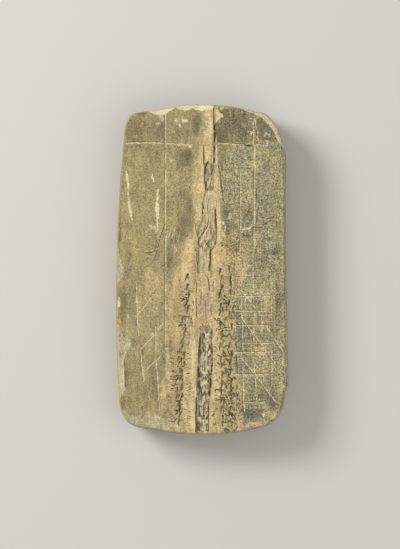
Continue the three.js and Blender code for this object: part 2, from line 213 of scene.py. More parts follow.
# soft stains, some of them painted shadow: x, y, half size across, half size along, strength
stains = {
    # dark smudges, with painted shadow beside the ridge, along the upper left edge of the worn bed and
    # beside the left edge chip
    "smudgeAndShade": [
        (-32.3, 36.0, 1.1, 12.0, 0.6), (-32.6, 15.0, 1.0, 9.0, 0.6), (-32.4, -12.0, 1.0, 8.0, 0.5),
        (-2.3, 57.5, 2.0, 5.0, 0.9), (-6.5, 44.5, 3.8, 3.0, 0.8), (-7.0, 41.8, 3.6, 1.6, 0.6),
        (-6.8, 29.0, 2.4, 2.6, 0.5), (-5.4, 24.0, 1.8, 4.0, 0.7), (-6.4, 18.5, 2.8, 3.6, 0.75),
        (-8.0, 14.6, 3.0, 2.4, 0.7), (-10.4, 11.2, 2.8, 2.4, 0.6), (-12.6, 8.0, 2.6, 2.6, 0.5),
        (-12.8, 3.4, 2.4, 4.0, 0.6), (-20.0, 58.0, 7.0, 3.0, 0.4), (-26.0, -44.0, 4.0, 9.0, 0.3),
        (-27.5, -12.0, 2.4, 10.0, 0.4), (-21.0, -33.0, 5.0, 6.0, 0.35), (22.8, 56.0, 2.8, 3.4, 0.9),
        (23.5, -20.0, 7.5, 11.0, 0.62), (-22.0, -44.0, 6.0, 8.0, 0.3),
        (-22.0, -30.0, 5.0, 5.0, 0.3), (9.4, 18.0, 3.4, 8.0, 0.62), (-30.8, -14.0, 1.5, 8.0, 0.8),
        (-29.0, -29.0, 3.6, 2.2, 0.5), (-29.9, -41.0, 0.6, 7.0, 0.6),
        (-18.4, -41.0, 3.2, 6.0, 0.55), (-14.6, -35.5, 1.4, 3.4, 0.7),
        (-18.2, -49.0, 1.6, 5.0, 0.45), (-31.0, -52.0, 1.2, 3.5, 0.6), (-23.6, 61.4, 2.6, 0.9, 0.9),
        (-25.5, 54.0, 5.0, 7.0, 0.6), (-17.0, 54.5, 5.0, 6.0, 0.6), (-8.5, 53.5, 5.0, 4.5, 0.5),
        (12.0, 57.5, 8.5, 7.0, 1.0), (8.0, 52.5, 4.0, 4.0, 1.0), (17.0, 53.5, 5.0, 4.5, 0.9),
        (24.5, 54.0, 4.0, 4.5, 1.0), (9.2, 22.0, 1.4, 3.5, 0.7), (17.2, 22.6, 2.4, 2.4, 0.7),
        (11.5, 17.5, 3.2, 1.6, 0.7), (25.8, 12.0, 2.6, 1.2, 0.8), (27.6, 7.0, 3.2, 1.3, 0.8),
        (17.5, -18.5, 3.4, 1.6, 0.6), (26.6, -17.0, 3.0, 6.0, 0.5), (20.5, -27.0, 3.0, 3.0, 0.4),
        (10.5, 27.0, 2.4, 3.0, 0.4), (10.5, -24.0, 3.0, 3.0, 0.35), (13.6, -17.5, 2.0, 2.6, 0.9),
        (15.4, -25.5, 3.0, 2.4, 0.6), (29.6, -13.0, 2.0, 5.0, 0.7), (22.0, -19.0, 1.2, 2.0, 0.4),
        (24.0, -26.0, 2.4, 1.6, 0.4), (16.6, -30.0, 2.2, 3.4, 0.5), (13.6, -38.0, 2.2, 3.8, 0.8),
        (13.4, -43.5, 2.0, 1.6, 0.7), (25.0, -50.0, 5.0, 2.4, 0.9), (28.6, -53.0, 2.4, 1.8, 1.0),
        (18.2, -57.0, 3.8, 2.8, 1.0), (23.2, -56.4, 3.4, 2.2, 1.0), (20.0, -51.0, 3.0, 3.0, 0.5),
        (17.5, -37.5, 2.0, 3.0, 0.6),
    ],
    "blue": [
        (6.9, 56.6, 1.3, 1.3, 0.5), (26.4, 55.2, 1.7, 1.0, 1.0), (27.6, 51.6, 1.4, 1.8, 0.9),
        (8.2, 42.0, 1.7, 3.4, 0.8), (15.0, 43.0, 4.4, 4.0, 0.5), (17.6, 38.0, 3.0, 2.4, 0.7),
        (24.6, 37.0, 3.6, 4.4, 0.9), (12.0, 31.0, 4.0, 4.0, 0.35), (25.0, 28.0, 3.4, 6.0, 1.0),
        (26.4, 16.0, 3.4, 9.0, 0.9), (28.6, 42.0, 2.4, 5.0, 0.7), (13.0, 19.0, 4.5, 4.0, 0.3),
        (29.5, -4.5, 1.6, 4.5, 0.8), (25.6, 4.0, 2.6, 2.6, 0.5), (29.5, -20.0, 2.0, 3.0, 0.8),
        (15.4, -26.5, 3.4, 4.5, 0.8), (13.6, -17.5, 2.4, 3.0, 0.6), (27.8, -46.5, 1.8, 3.6, 0.8),
        (23.0, -53.5, 4.6, 2.0, 0.9), (18.0, -58.0, 4.2, 2.6, 1.0), (22.5, -56.5, 3.6, 2.6, 1.0),
        (27.2, -51.5, 3.0, 2.4, 1.0), (15.5, -40.0, 2.6, 5.0, 0.6), (-27.0, -28.5, 3.0, 2.0, 0.7),
        (-26.5, 58.5, 4.5, 2.6, 0.35), (-29.5, -43.0, 0.8, 6.0, 0.6), (18.5, -47.0, 3.5, 3.0, 0.5),
        (-12.5, 60.0, 1.6, 2.0, 0.3), (2.3, 35.5, 1.8, 5.2, 0.9), (1.5, 12.5, 3.2, 4.0, 0.6),
        (1.0, 2.5, 1.6, 4.5, 0.6), (0.6, -58.0, 2.4, 7.0, 0.6), (0.8, -36.0, 2.4, 9.0, 0.35),
        (28.0, -11.0, 2.0, 6.0, 0.4),
    ],
    "olive": [
        (31.4, 30.0, 0.9, 14.0, 0.9), (31.6, 5.0, 0.9, 16.0, 0.9), (31.9, -20.0, 0.8, 12.0, 0.7),
        (26.0, 45.0, 4.5, 3.0, 0.7), (-31.2, 24.0, 0.9, 6.0, 0.9), (30.8, -52.0, 0.8, 3.0, 0.7),
        (29.6, -56.5, 1.2, 2.0, 0.6), (-25.0, 44.0, 4.0, 6.0, 0.3), (-13.8, 38.0, 1.2, 6.0, 0.4),
        (6.2, 34.0, 0.5, 3.4, 0.8), (-26.0, -54.0, 3.6, 3.0, 0.5), (22.8, -60.2, 2.6, 1.0, 0.7),
        (-8.0, -30.5, 3.4, 1.8, 0.4),
    ],
    "rosy": [
        (-23.8, 27.2, 1.0, 1.2, 0.7), (-18.2, 21.0, 1.3, 3.6, 0.9), (-21.0, 14.6, 2.2, 2.8, 0.8),
        (-22.0, -9.0, 2.4, 3.4, 0.5), (-12.6, -12.0, 1.8, 6.0, 0.7), (-8.6, -8.0, 1.8, 4.4, 0.5),
        (-21.5, -56.6, 3.0, 1.6, 0.9), (3.9, -54.0, 1.8, 2.6, 1.0), (6.4, -57.0, 1.4, 1.3, 0.8),
        (16.6, 57.0, 1.6, 1.2, 0.6), (-2.0, 41.2, 1.8, 2.8, 0.9), (-1.7, 0.8, 0.6, 5.0, 0.9),
        (24.3, -20.6, 1.6, 1.2, 0.9), (16.4, -62.0, 2.8, 0.9, 0.9), (-13.4, -20.0, 2.0, 4.0, 0.6),
        (-9.0, 8.5, 4.0, 2.6, 0.6), (-30.6, -17.0, 1.6, 5.0, 0.4), (-2.8, -44.0, 0.7, 5.0, 0.6),
        (-18.0, -10.0, 3.0, 8.0, 0.45), (-18.5, -44.0, 2.0, 5.0, 0.5), (1.6, -34.0, 1.4, 3.0, 0.4),
        (2.8, -13.5, 1.0, 2.4, 0.6), (-4.6, -26.0, 2.4, 2.0, 0.5), (6.8, -25.5, 1.6, 1.2, 0.5),
        (14.4, -38.2, 1.4, 1.6, 0.5),
    ],
    "buff": [
        (18.7, 28.0, 2.2, 2.8, 0.8), (20.4, 43.0, 0.9, 4.5, 0.7), (20.4, 27.0, 0.7, 5.0, 0.7),
        (-21.5, -15.0, 4.5, 8.0, 0.55), (-18.4, -8.0, 3.8, 10.0, 0.8),
        (-20.0, -30.0, 3.0, 4.0, 0.3), (-17.0, 11.0, 5.0, 4.0, 0.5), (-14.0, 16.0, 3.0, 3.0, 0.4),
        (24.5, -8.0, 3.5, 9.0, 0.55), (20.0, -3.0, 4.0, 6.0, 0.35), (22.5, -33.0, 3.4, 3.0, 0.7),
        (24.5, -38.0, 3.4, 4.0, 0.4), (30.8, -35.0, 1.6, 8.0, 0.3), (31.4, -46.0, 1.2, 4.0, 0.8),
        (27.4, -57.6, 3.0, 2.0, 0.8), (22.0, -61.0, 6.0, 1.2, 0.9), (-13.0, -55.0, 2.2, 4.0, 0.4),
        (21.0, 10.0, 2.2, 4.0, 0.7), (24.0, -23.0, 2.0, 2.0, 0.4), (-27.0, 10.0, 2.5, 4.0, 0.15),
        (16.0, -51.0, 2.0, 4.0, 0.35), (30.5, -58.0, 1.4, 3.0, 0.6),
    ],
    "slate": [
        (24.8, -50.6, 4.6, 2.0, 0.8), (27.5, -53.2, 1.9, 1.5, 1.0), (18.4, -56.2, 4.2, 2.3, 0.9),
        (22.4, -54.6, 2.2, 1.4, 0.6), (12.4, -16.0, 1.6, 2.6, 0.6), (12.8, -36.2, 1.8, 2.4, 0.7),
        (15.4, -21.8, 2.4, 3.0, 0.4), (28.6, -9.0, 1.8, 6.0, 0.5), (29.4, -18.0, 1.8, 4.0, 0.5),
        (25.2, 12.1, 2.6, 1.1, 0.7), (28.2, 6.8, 2.8, 1.3, 0.7), (11.5, 57.5, 4.4, 4.4, 0.45),
        (26.6, 53.6, 1.8, 2.6, 0.7), (23.6, 54.6, 3.0, 3.6, 0.6), (22.6, -18.4, 3.6, 3.8, 0.4),
        (8.0, 53.0, 2.6, 3.4, 0.5), (18.0, 56.0, 3.0, 4.0, 0.35), (2.9, 9.6, 1.6, 1.6, 0.8),
        (-0.2, 10.6, 0.9, 1.4, 0.7), (2.2, 37.0, 1.2, 3.6, 0.4),
    ],
    "shade": [
        (-8.2, -14.0, 2.6, 11.0, 0.7), (-9.4, -36.0, 2.6, 13.0, 0.75),
        (-10.8, -55.0, 2.4, 10.0, 0.7), (9.0, -10.0, 2.8, 11.0, 0.75),
        (10.6, -30.0, 3.0, 12.0, 0.8), (11.2, -52.0, 3.8, 12.0, 0.8), (13.0, 11.0, 5.0, 4.0, 0.5),
        (14.0, 24.0, 4.5, 5.0, 0.45), (17.0, 33.0, 3.0, 5.0, 0.35), (18.5, 4.0, 4.0, 6.0, 0.6),
        (12.0, 0.0, 3.0, 4.0, 0.5), (13.5, -3.0, 2.0, 6.0, 0.6), (-6.5, 3.0, 1.0, 3.0, 0.4),
        (3.6, 22.0, 0.8, 5.0, 0.4),
    ],
    "cream": [
        (2.8, 56.0, 1.3, 7.0, 0.8), (2.4, 46.0, 1.2, 3.4, 0.6), (-0.6, 34.0, 1.2, 4.5, 0.7),
        (5.6, 36.0, 0.8, 5.0, 0.7), (-0.8, 22.0, 1.4, 5.0, 0.6), (-4.6, 9.0, 1.8, 5.0, 0.6),
        (-6.4, 1.0, 2.4, 4.0, 0.5), (6.6, 19.0, 0.8, 4.0, 0.6), (-3.7, -14.0, 1.0, 9.0, 0.8),
        (-3.4, -38.0, 0.9, 15.0, 0.9), (-3.8, -58.0, 1.1, 7.0, 0.8), (4.3, -10.0, 1.0, 9.0, 0.9),
        (5.0, -27.0, 0.9, 6.0, 0.6), (4.4, -57.0, 1.4, 7.0, 0.8), (-12.6, -12.0, 1.5, 9.0, 0.6),
        (-13.6, -36.0, 1.3, 9.0, 0.7), (-29.9, -29.0, 1.8, 2.6, 0.8), (33.4, 22.0, 0.7, 24.0, 0.9),
        (33.6, -24.0, 0.7, 20.0, 0.9), (-15.2, -49.0, 1.1, 7.0, 0.5), (-0.2, -11.0, 1.6, 8.0, 0.5),
        (0.3, 3.0, 1.5, 4.0, 0.9), (5.0, 3.0, 1.0, 3.6, 0.6), (-8.5, -61.0, 3.0, 2.0, 0.5),
        (7.5, -61.5, 3.0, 2.0, 0.6),
    ],
    "worms": [
        (12.5, 10.0, 6.0, 4.5, 1.0), (17.5, 6.0, 5.0, 6.0, 0.8), (9.5, 15.0, 2.4, 3.0, 0.8),
        (17.0, 15.0, 4.0, 2.4, 0.7), (12.0, -1.0, 4.0, 4.0, 0.8), (-8.5, 13.0, 4.0, 3.0, 0.6),
        (10.5, -36.0, 3.6, 10.0, 0.8), (12.0, -54.0, 3.6, 8.0, 0.9), (-9.0, -40.0, 2.6, 20.0, 0.4),
        (22.0, 4.0, 4.0, 6.0, 0.6), (-8.0, -12.0, 4.0, 14.0, 0.5), (1.0, -12.0, 3.0, 11.0, 0.5),
        (9.0, -10.0, 4.0, 11.0, 0.6), (10.5, 22.0, 3.0, 5.0, 0.4),
    ],
    "chalk": [
        (-27.0, -58.8, 5.0, 2.1, 0.9), (-19.5, -59.8, 5.5, 2.1, 0.9), (-30.6, -56.4, 1.6, 1.6, 0.7),
        (-13.6, -60.8, 3.0, 1.5, 0.7), (0.1, 2.0, 1.0, 4.6, 0.95), (-32.4, 0.5, 1.1, 6.0, 0.6),
        (-13.6, -58.6, 1.6, 1.2, 0.6), (24.0, -2.0, 2.0, 2.2, 0.35), (2.4, 28.0, 1.2, 3.0, 0.4),
        (22.0, -53.5, 3.0, 1.3, 0.4), (-1.2, -50.2, 1.2, 1.2, 0.6), (0.4, -62.0, 1.8, 2.6, 0.6),
        (26.0, 36.0, 3.0, 3.0, 0.3), (15.6, 57.0, 0.5, 2.0, 0.4), (12.0, -52.0, 2.0, 2.0, 0.3),
    ],
    "specks": [
        (-7.0, 58.2, 1.3, 0.8, 0.9), (-6.0, 58.4, 0.81, 0.68, 0.9), (-8.6, 56.3, 0.54, 0.68, 0.9),
        (-10.4, 58.4, 0.54, 0.94, 0.7), (-9.3, 58.9, 1.2, 0.41, 0.6), (-15.8, 59.3, 0.81, 1.4, 0.8),
        (-17.3, 57.4, 0.94, 0.54, 0.7), (-16.4, 60.1, 0.94, 0.54, 0.8),
        (-26.0, 58.7, 0.54, 0.54, 0.5), (-24.4, 58.6, 0.68, 0.41, 0.4),
        (-23.5, 57.4, 0.68, 0.54, 0.4), (-5.0, 48.3, 0.7, 0.5, 1.0), (-6.4, 48.6, 1.2, 0.4, 0.7),
        (-9.0, 49.0, 0.94, 0.94, 0.6), (-12.3, 43.1, 0.54, 0.81, 0.7),
        (-19.6, 36.2, 0.41, 1.4, 0.8), (19.4, 53.4, 0.54, 0.68, 0.9), (24.6, 52.6, 0.42, 0.5, 1.0),
        (25.0, 53.6, 0.4, 0.4, 1.0), (26.2, 52.9, 0.42, 0.5, 1.0), (24.0, 54.4, 0.41, 0.5, 0.9),
        (25.2, 51.0, 0.42, 0.7, 0.9), (25.8, 49.7, 0.41, 0.6, 0.9), (13.4, 38.6, 0.68, 0.68, 0.7),
        (8.2, 18.2, 0.68, 0.68, 0.9), (8.9, 16.0, 0.47, 1.6, 0.8), (10.7, 20.6, 0.54, 1.5, 0.7),
        (24.0, -56.7, 0.35, 0.9, 1.0), (-19.4, -25.6, 0.68, 0.68, 0.8),
        (7.6, 63.6, 0.94, 0.81, 0.8), (-17.2, -57.9, 1.2, 0.54, 0.7), (6.2, -45.8, 1.0, 0.8, 0.7),
        (7.0, -49.0, 1.1, 0.9, 0.7), (18.7, 16.6, 0.68, 0.68, 0.9), (-29.1, -18.0, 0.41, 1.2, 0.8),
        (-20.0, 16.6, 0.94, 1.4, 0.6), (17.5, -11.0, 0.81, 0.68, 0.8), (1.6, -40.6, 2, 1.2, 0.9),
        (2.5, 11.4, 0.68, 1.2, 0.8), (9.5, 63.6, 0.81, 0.41, 0.5), (-3.0, -47.5, 1.1, 4.1, 0.6),
        (0.4, -49.6, 1.1, 1.1, 0.7), (-32.7, -13.0, 0.41, 2.7, 0.9),
    ],
}


def measureOutline():  # points at close steps round the outline, with the run at each
    points, runsAtEnds = [np.array([outlineStart])], []
    for middle, end in outlineCurves:
        start = points[-1][-1]
        control = 2 * np.array(middle) - (start + np.array(end)) / 2
        t = np.linspace(0, 1, 241)[1:, None]
        points.append((1 - t) ** 2 * start + 2 * t * (1 - t) * control + t * t * np.array(end))
        steps = np.linalg.norm(np.diff(np.vstack(points), axis=0), axis=1)
        runsAtEnds.append(steps.sum())
    line = np.vstack(points)
    runs = np.r_[0, np.cumsum(np.linalg.norm(np.diff(line, axis=0), axis=1))]
    middle = (line.max(0) + line.min(0)) / 2
    return line - middle, runs, runsAtEnds


outlineLine, outlineRuns, curveEnds = measureOutline()
outlineLength = outlineRuns[-1]
cornerRun = {name: (curveEnds[k - 1] + curveEnds[k]) / 2 for name, k in cornerCurves.items()}


def outlineAt(run):  # point and outward direction at a run round the outline
    def at(r):
        r = r % outlineLength
        return np.stack([np.interp(r, outlineRuns, outlineLine[:, k]) for k in (0, 1)], axis=-1)
    ahead = sum(at(run + reach) - at(run - reach) for reach in (0.25, 1.0, 2.0, 3.0))
    ahead /= np.linalg.norm(ahead, axis=-1, keepdims=True)
    return at(run), np.stack([ahead[..., 1], -ahead[..., 0]], axis=-1)


def rimInset(outward):
    across = np.where(outward[..., 0] > 0, slab["insetRight"], slab["insetLeft"])
    lengthwise = np.where(outward[..., 1] > 0, slab["insetHead"], slab["insetFoot"])
    plain = lengthwise + (across - lengthwise) * outward[..., 0] ** 2
    share = 2 * np.clip(outward[..., 0], 0, 1) * np.clip(outward[..., 1], 0, 1)
    return plain + (slab["insetCorner"] - plain) * share ** 2


def channelWalls(x, y):
    slow = x * 0.2  # the walls waver along their length, hardly across
    left = along(channelStations, 1, y) + 0.16 * waver(slow, y, 2.3, 11) + 0.1 * waver(slow, y, 0.8, 12)
    right = along(channelStations, 2, y) + 0.14 * waver(slow, y, 2.1, 13) + 0.1 * waver(slow, y, 0.8, 14)
    return left, right


def loopDepth(corners, x, y):  # mm inside a closed loop of corners, negative outside it
    inside, away = np.zeros(x.shape, bool), np.full(x.shape, 1e9)
    for (ax, ay), (bx, by) in zip(corners, corners[1:] + corners[:1]):
        t = np.clip(((x - ax) * (bx - ax) + (y - ay) * (by - ay)) / ((bx - ax) ** 2 + (by - ay) ** 2), 0, 1)
        away = np.minimum(away, np.hypot(x - ax - t * (bx - ax), y - ay - t * (by - ay)))
        if ay != by:
            inside ^= ((ay > y) != (by > y)) & (x < ax + (y - ay) * (bx - ax) / (by - ay))
    return np.where(inside, away, -away)


def spotField(spots, x, y, seed):  # soft ragged spots: x, y, half size across, half size along, strength
    field = np.zeros_like(x)
    for number, (spotX, spotY, across, lengthwise, strength) in enumerate(spots):
        edge = ((x - spotX) / across) ** 2 + ((y - spotY) / lengthwise) ** 2
        near = edge < 5
        u, v, edge = x[near], y[near], edge[near]
        edge = edge * (1 + 0.45 * waver(u, v, 1.7, seed + number) + 0.3 * waver(u, v, 0.6, seed + number))
        field[near] = np.maximum(field[near], strength * np.exp(-0.9 * np.maximum(edge, 0) ** 1.5))
    return field


def mounds(spots, x, y):  # summed height of round lumps or hollows
    return sum(h * np.exp(-(((x - cx) / a) ** 2 + ((y - cy) / b) ** 2) ** 2) for cx, cy, a, b, h in spots)


def faceFields(x, y):  # height of the written face, and what has happened to its stone there
    left, right = channelWalls(x, y)
    run = slab["wallRun"]
    inChannel = smoothStep(x, left, left + run) * smoothStep(-x, -right, -right + run)
    channel = along(channelStations, 3, y) * inChannel

    crest = ridge["height"] * smoothStep(y, ridge["footY"] - ridge["fade"], ridge["footY"])
    crest *= smoothStep(x, right - ridge["run"], right - 1) * (1 - smoothStep(x, right, right + run))
    dip = np.exp(-((x - right - valley["offset"]) / valley["halfWidth"]) ** 2)
    dip *= valley["depth"] * smoothStep(y, valley["footY"] - valley["fade"], valley["footY"])

    ragged = 0.8 * waver(x, y, 3.2, 21) + 0.5 * waver(x, y, 1.1, 22)
    bedLeft = along(bedStations, 1, y) + ragged * (0.35 + 0.45 * smoothStep(-y, -12, 4))
    bedRight = along(bedStations, 2, y) + 1.5 * ragged * smoothStep(-y, -24, -10)
    softLeft, softRight = along(bedStations, 3, y) / 2, along(bedStations, 4, y) / 2
    worn = smoothStep(x, bedLeft - softLeft, bedLeft + softLeft)
    worn *= smoothStep(-x, -bedRight - softRight, -bedRight + softRight)
    sunk = bed["depth"] * worn * smoothStep(-y, -bed["headY"] - 6, -bed["headY"])

    scoop, fresh, chalk = np.zeros_like(x), np.zeros_like(x), spotField(stains["chalk"], x, y, 900)
    for depth, chalky, *corners in flakes:
        inside = loopDepth(corners, x, y) + 0.22 * waver(x, y, 1.3, 31) + 0.12 * waver(x, y, 0.5, 32)
        scoop = np.maximum(
            scoop, depth * smoothStep(inside, -0.1, 1.6) + 0.15 * smoothStep(inside, -0.1, 0.15))
        fresh = np.maximum(fresh, (1 - chalky) * smoothStep(inside, -0.15, 0.15))
        chalk = np.maximum(chalk, chalky * smoothStep(inside, -0.15, 0.15))

    bumps = mounds(lumps, x, y) - mounds(hollows, x, y)
    plain = thickness - 0.06 - slab["crownAcross"] * (x / halfWidth) ** 2
    plain = plain - slab["crownAlong"] * (y / halfLength) ** 2
    height = plain + crest - dip - sunk - channel - scoop + bumps
    fields = {"rough": inChannel * along(roughStations, 1, y), "worn": worn, "fresh": fresh, "chalk": chalk}
    for number, name in enumerate(("smudgeAndShade", "blue", "olive", "rosy", "buff", "specks",
                                   "shade", "cream", "worms", "slate")):
        fields[name] = spotField(stains[name], x, y, 100 + 100 * number)
    return height, fields


def crowdedSteps(edges):  # places from the pitch wanted between each pair of edges
    places = []
    for low, high, pitch in edges:
        count = max(1, round((high - low) / pitch))
        places.append(np.linspace(low, high, count, endpoint=False))
    places = np.append(np.concatenate(places), edges[-1][1])
    return (places - places[0]) / (places[-1] - places[0])


def makeSlab():
    fine, plain = slab["finePitch"], slab["plainPitch"]
    u = crowdedSteps([(-halfWidth, -15, plain), (-15, 18, fine), (18, halfWidth, plain)])
    v = crowdedSteps([(-halfLength, 8, fine), (8, halfLength, plain)])
    columns, rows = len(u) - 1, len(v) - 1

    def side(start, end, shares):
        return outlineAt(start + (end - start) * shares)
    run = cornerRun
    sides = {
        "foot": side(run["footLeft"], run["footRight"], u),
        "head": side(run["headLeft"], run["headRight"], u),
        "left": side(run["footLeft"] + outlineLength, run["headLeft"], v),
        "right": side(run["footRight"], run["headRight"], v),
    }

    def patch(inset):  # a sheet of points between the four sides, each drawn in by inset
        edge = {name: place - outward * inset(outward)[:, None] for name, (place, outward) in sides.items()}
        U, V = u[None, :, None], v[:, None, None]
        foot, head = edge["foot"][None], edge["head"][None]
        left, right = edge["left"][:, None], edge["right"][:, None]
        ruled = foot * (1 - V) + head * V + left * (1 - U) + right * U
        ruled -= (foot[:, :1] * (1 - U) + foot[:, -1:] * U) * (1 - V)
        return ruled - (head[:, :1] * (1 - U) + head[:, -1:] * U) * V

    face = patch(rimInset)
    height, fields = faceFields(face[..., 0], face[..., 1])
    facePoints = np.dstack([face, height]).reshape(-1, 3)
    edges = kdtree.KDTree(len(outlineLine))
    for k, (x, y) in enumerate(outlineLine):
        edges.insert((x, y, 0), k)
    edges.balance()
    edgeAway = np.array([edges.find((x, y, 0))[2] for x, y, z in facePoints])
    back = patch(lambda outward: np.full(len(outward), slab["backInset"]))
    backPoints = np.dstack([back, np.zeros(back.shape[:2])]).reshape(-1, 3)

    number = np.arange((rows + 1) * (columns + 1)).reshape(rows + 1, columns + 1)
    loop = np.concatenate([number[0, :-1], number[:-1, -1], number[-1, :0:-1], number[:0:-1, 0]])
    around = [np.concatenate([sides["foot"][k][:-1], sides["right"][k][:-1],
                              sides["head"][k][:0:-1], sides["left"][k][:0:-1]]) for k in (0, 1)]
    place, outward = around
    inset, rimHeight = rimInset(outward), facePoints[loop, 2]

    rings = []
    for turn in np.radians([15, 30, 45, 60, 75, 90]):  # round the worn arris
        drawn = inset + (slab["sideBulge"] - inset) * math.sin(turn)
        rings.append((drawn, rimHeight - slab["arrisSlope"] * inset * (1 - math.cos(turn))))
    top = rings[-1][1]
    steps = round((thickness - slab["girth"]) / slab["sidePitch"])
    for k in range(1, steps + 1):  # down the bulging side to the girth
        share = k / steps
        rings.append((slab["sideBulge"] * (1 - math.sin(share * math.pi / 2)) + 0 * inset,
                      top + (slab["girth"] - top) * share))
    for turn in np.radians(np.linspace(0, 90, 21)[1:-1]):  # round under the slab
        drawn = slab["backInset"] * (1 - math.cos(turn))
        rings.append((drawn + 0 * inset, slab["girth"] * (1 - math.sin(turn)) + 0 * inset))

    points, faces = [facePoints], []
    a, b, c, d = number[:-1, :-1], number[:-1, 1:], number[1:, 1:], number[1:, :-1]
    faces.append(np.stack([a, b, c, d], axis=-1).reshape(-1, 4))
    previous, count = loop, len(facePoints)
    for drawn, ringHeight in rings:
        points.append(np.column_stack([place - outward * drawn[:, None], ringHeight]))
        ring = count + np.arange(len(loop))
        count += len(loop)
        faces.append(np.stack([previous, ring, np.roll(ring, -1), np.roll(previous, -1)], axis=-1))
        previous = ring
    backNumber, backLoop = number + count, loop + count
    points.append(backPoints)
    faces.append(np.stack([previous, backLoop, np.roll(backLoop, -1), np.roll(previous, -1)], axis=-1))
    a, b, c, d = backNumber[:-1, :-1], backNumber[:-1, 1:], backNumber[1:, 1:], backNumber[1:, :-1]
    faces.append(np.stack([a, d, c, b], axis=-1).reshape(-1, 4))

    points, faces = np.vstack(points), np.vstack(faces)
    mesh = bpy.data.meshes.new("tabletStone")
    mesh.vertices.add(len(points))
    mesh.vertices.foreach_set("co", (points * mm).astype(np.float32).ravel())
    mesh.loops.add(faces.size)
    mesh.loops.foreach_set("vertex_index", faces.astype(np.int32).ravel())
    mesh.polygons.add(len(faces))
    mesh.polygons.foreach_set("loop_start", np.arange(0, faces.size, 4, dtype=np.int32))
    mesh.update(calc_edges=True)
    mesh.validate()
    onFace, skin, rim = np.zeros((3, len(points)))
    onFace[:len(facePoints)] = 1
    skin[:len(facePoints)] = 1
    rim[:len(facePoints)] = smoothStep(-edgeAway, -slab["paleRim"], -0.4)
    fields = {name: np.r_[values.reshape(-1), np.zeros(len(points) - len(facePoints))]
              for name, values in fields.items()}
    for k, (drawn, ringHeight) in enumerate(rings):  # what the rim shows runs on over the arris and fades
        here = slice(len(facePoints) + k * len(loop), len(facePoints) + (k + 1) * len(loop))
        fade = max(0, 1 - max(0, k - 5) / 8)
        skin[here] = fade
        rim[here] = fade * smoothStep(-drawn, -slab["paleRim"], -0.4)
        if fade:
            spots = place - outward * drawn[:, None]
            for name, values in faceFields(spots[:, 0], spots[:, 1])[1].items():
                fields[name][here] = fade * values * (name != "rough")
    for name, values in (fields | {"face": onFace, "skin": skin, "rim": rim}).items():
        setAttribute(mesh, name, values)
    stone = bpy.data.objects.new("tabletStone", mesh)
    bpy.context.scene.collection.objects.link(stone)
    return stone


tabletStone = makeSlab()
print("slab made:", len(tabletStone.data.polygons), "faces")


# half width and depth, then the points each line passes
rulings = [
    # long uprights
    (0.21, 0.13, (-14.5, 61.5), (-14.4, 31.0), (-14.6, 14.0)),
    (0.20, 0.12, (-14.6, 14.0), (-14.3, 2.0), (-14.5, -29.6)),
    (0.26, 0.14, (19.9, 59.5), (20.1, 49.0)), (0.30, 0.15, (20.4, 59.9), (21.2, 55.6)),
    (0.28, 0.14, (21.9, 54.5), (21.6, 52.5), (22.1, 49.6)),
    (0.32, 0.17, (20.5, 48.4), (20.5, 27.0), (20.3, 15.0), (19.9, 0.0), (19.8, -12.0)),
    (0.28, 0.16, (20.2, -13.0), (20.3, -26.0), (20.6, -40.3), (21.0, -47.0), (21.4, -52.0)),
    (0.18, 0.06, (15.1, 39.0), (15.0, 10.0)), (0.24, 0.12, (15.5, -17.0), (15.9, -32.0)),
    (0.28, 0.13, (15.9, -38.0), (16.1, -50.0), (16.6, -56.0)),
    (0.22, 0.10, (26.9, -2.0), (27.0, -20.0)), (0.26, 0.12, (27.2, -32.0), (27.3, -46.0)),
    (0.26, 0.13, (-18.4, -22.0), (-18.0, -33.0)),
    (0.24, 0.14, (-18.0, -35.5), (-17.4, -46.0), (-16.8, -55.3)),
    (0.24, 0.12, (-25.8, -5.0), (-25.6, -18.0), (-25.0, -26.0)),
    (0.26, 0.15, (-24.6, -30.0), (-23.7, -38.0), (-23.3, -40.0), (-23.2, -41.5), (-22.9, -44.0)),
    # head ruling
    (0.28, 0.12, (-30.4, 49.6), (-20.0, 49.8), (-14.5, 49.5), (-3.6, 49.0)),
    (0.34, 0.18, (5.6, 49.4), (8.5, 49.6), (12.5, 49.1), (16.5, 48.9)),
    (0.34, 0.18, (20.1, 48.8), (22.0, 49.1), (26.0, 48.6)),
    (0.22, 0.10, (14.0, 48.2), (16.6, 48.0)), (0.20, 0.10, (12.1, -2.1), (20.0, -2.2)),
    (0.22, 0.10, (13.0, -10.6), (27.9, -10.4)), (0.22, 0.10, (12.8, -16.2), (28.0, -16.4)),
    (0.24, 0.11, (12.4, -21.8), (26.0, -22.0)), (0.22, 0.10, (15.3, -28.9), (27.8, -28.9)),
    (0.26, 0.13, (12.0, -32.6), (25.6, -32.4)),
    (0.30, 0.13, (12.0, -41.2), (20.5, -41.3), (28.0, -41.0)),
    (0.22, 0.10, (16.0, -52.1), (25.0, -52.3)),
    # slanting rulings
    (0.40, 0.18, (15.1, -8.0), (18.4, -12.2), (22.8, -17.8)),
    (0.42, 0.18, (14.9, -18.3), (19.5, -24.6), (24.4, -31.0), (28.7, -37.0)),
    (0.40, 0.17, (24.7, -21.8), (27.9, -26.8), (31.6, -32.1)),
    (0.22, 0.10, (21.0, -35.5), (23.4, -38.6)),
    (0.46, 0.20, (14.4, -33.6), (19.6, -40.0), (24.4, -46.2), (29.1, -52.3)),
    (0.28, 0.17, (-19.0, -25.6), (-22.0, -28.8), (-24.6, -31.6)),
    (0.22, 0.10, (-14.9, -20.4), (-18.2, -24.1)),
    (0.26, 0.15, (-16.0, -33.4), (-19.4, -36.6), (-23.4, -40.4)),
    (0.18, 0.08, (-17.5, -8.0), (-20.5, -11.5), (-26.5, -19.0)),
    (0.24, 0.12, (-16.2, -6.4), (-17.6, -7.8)),
]
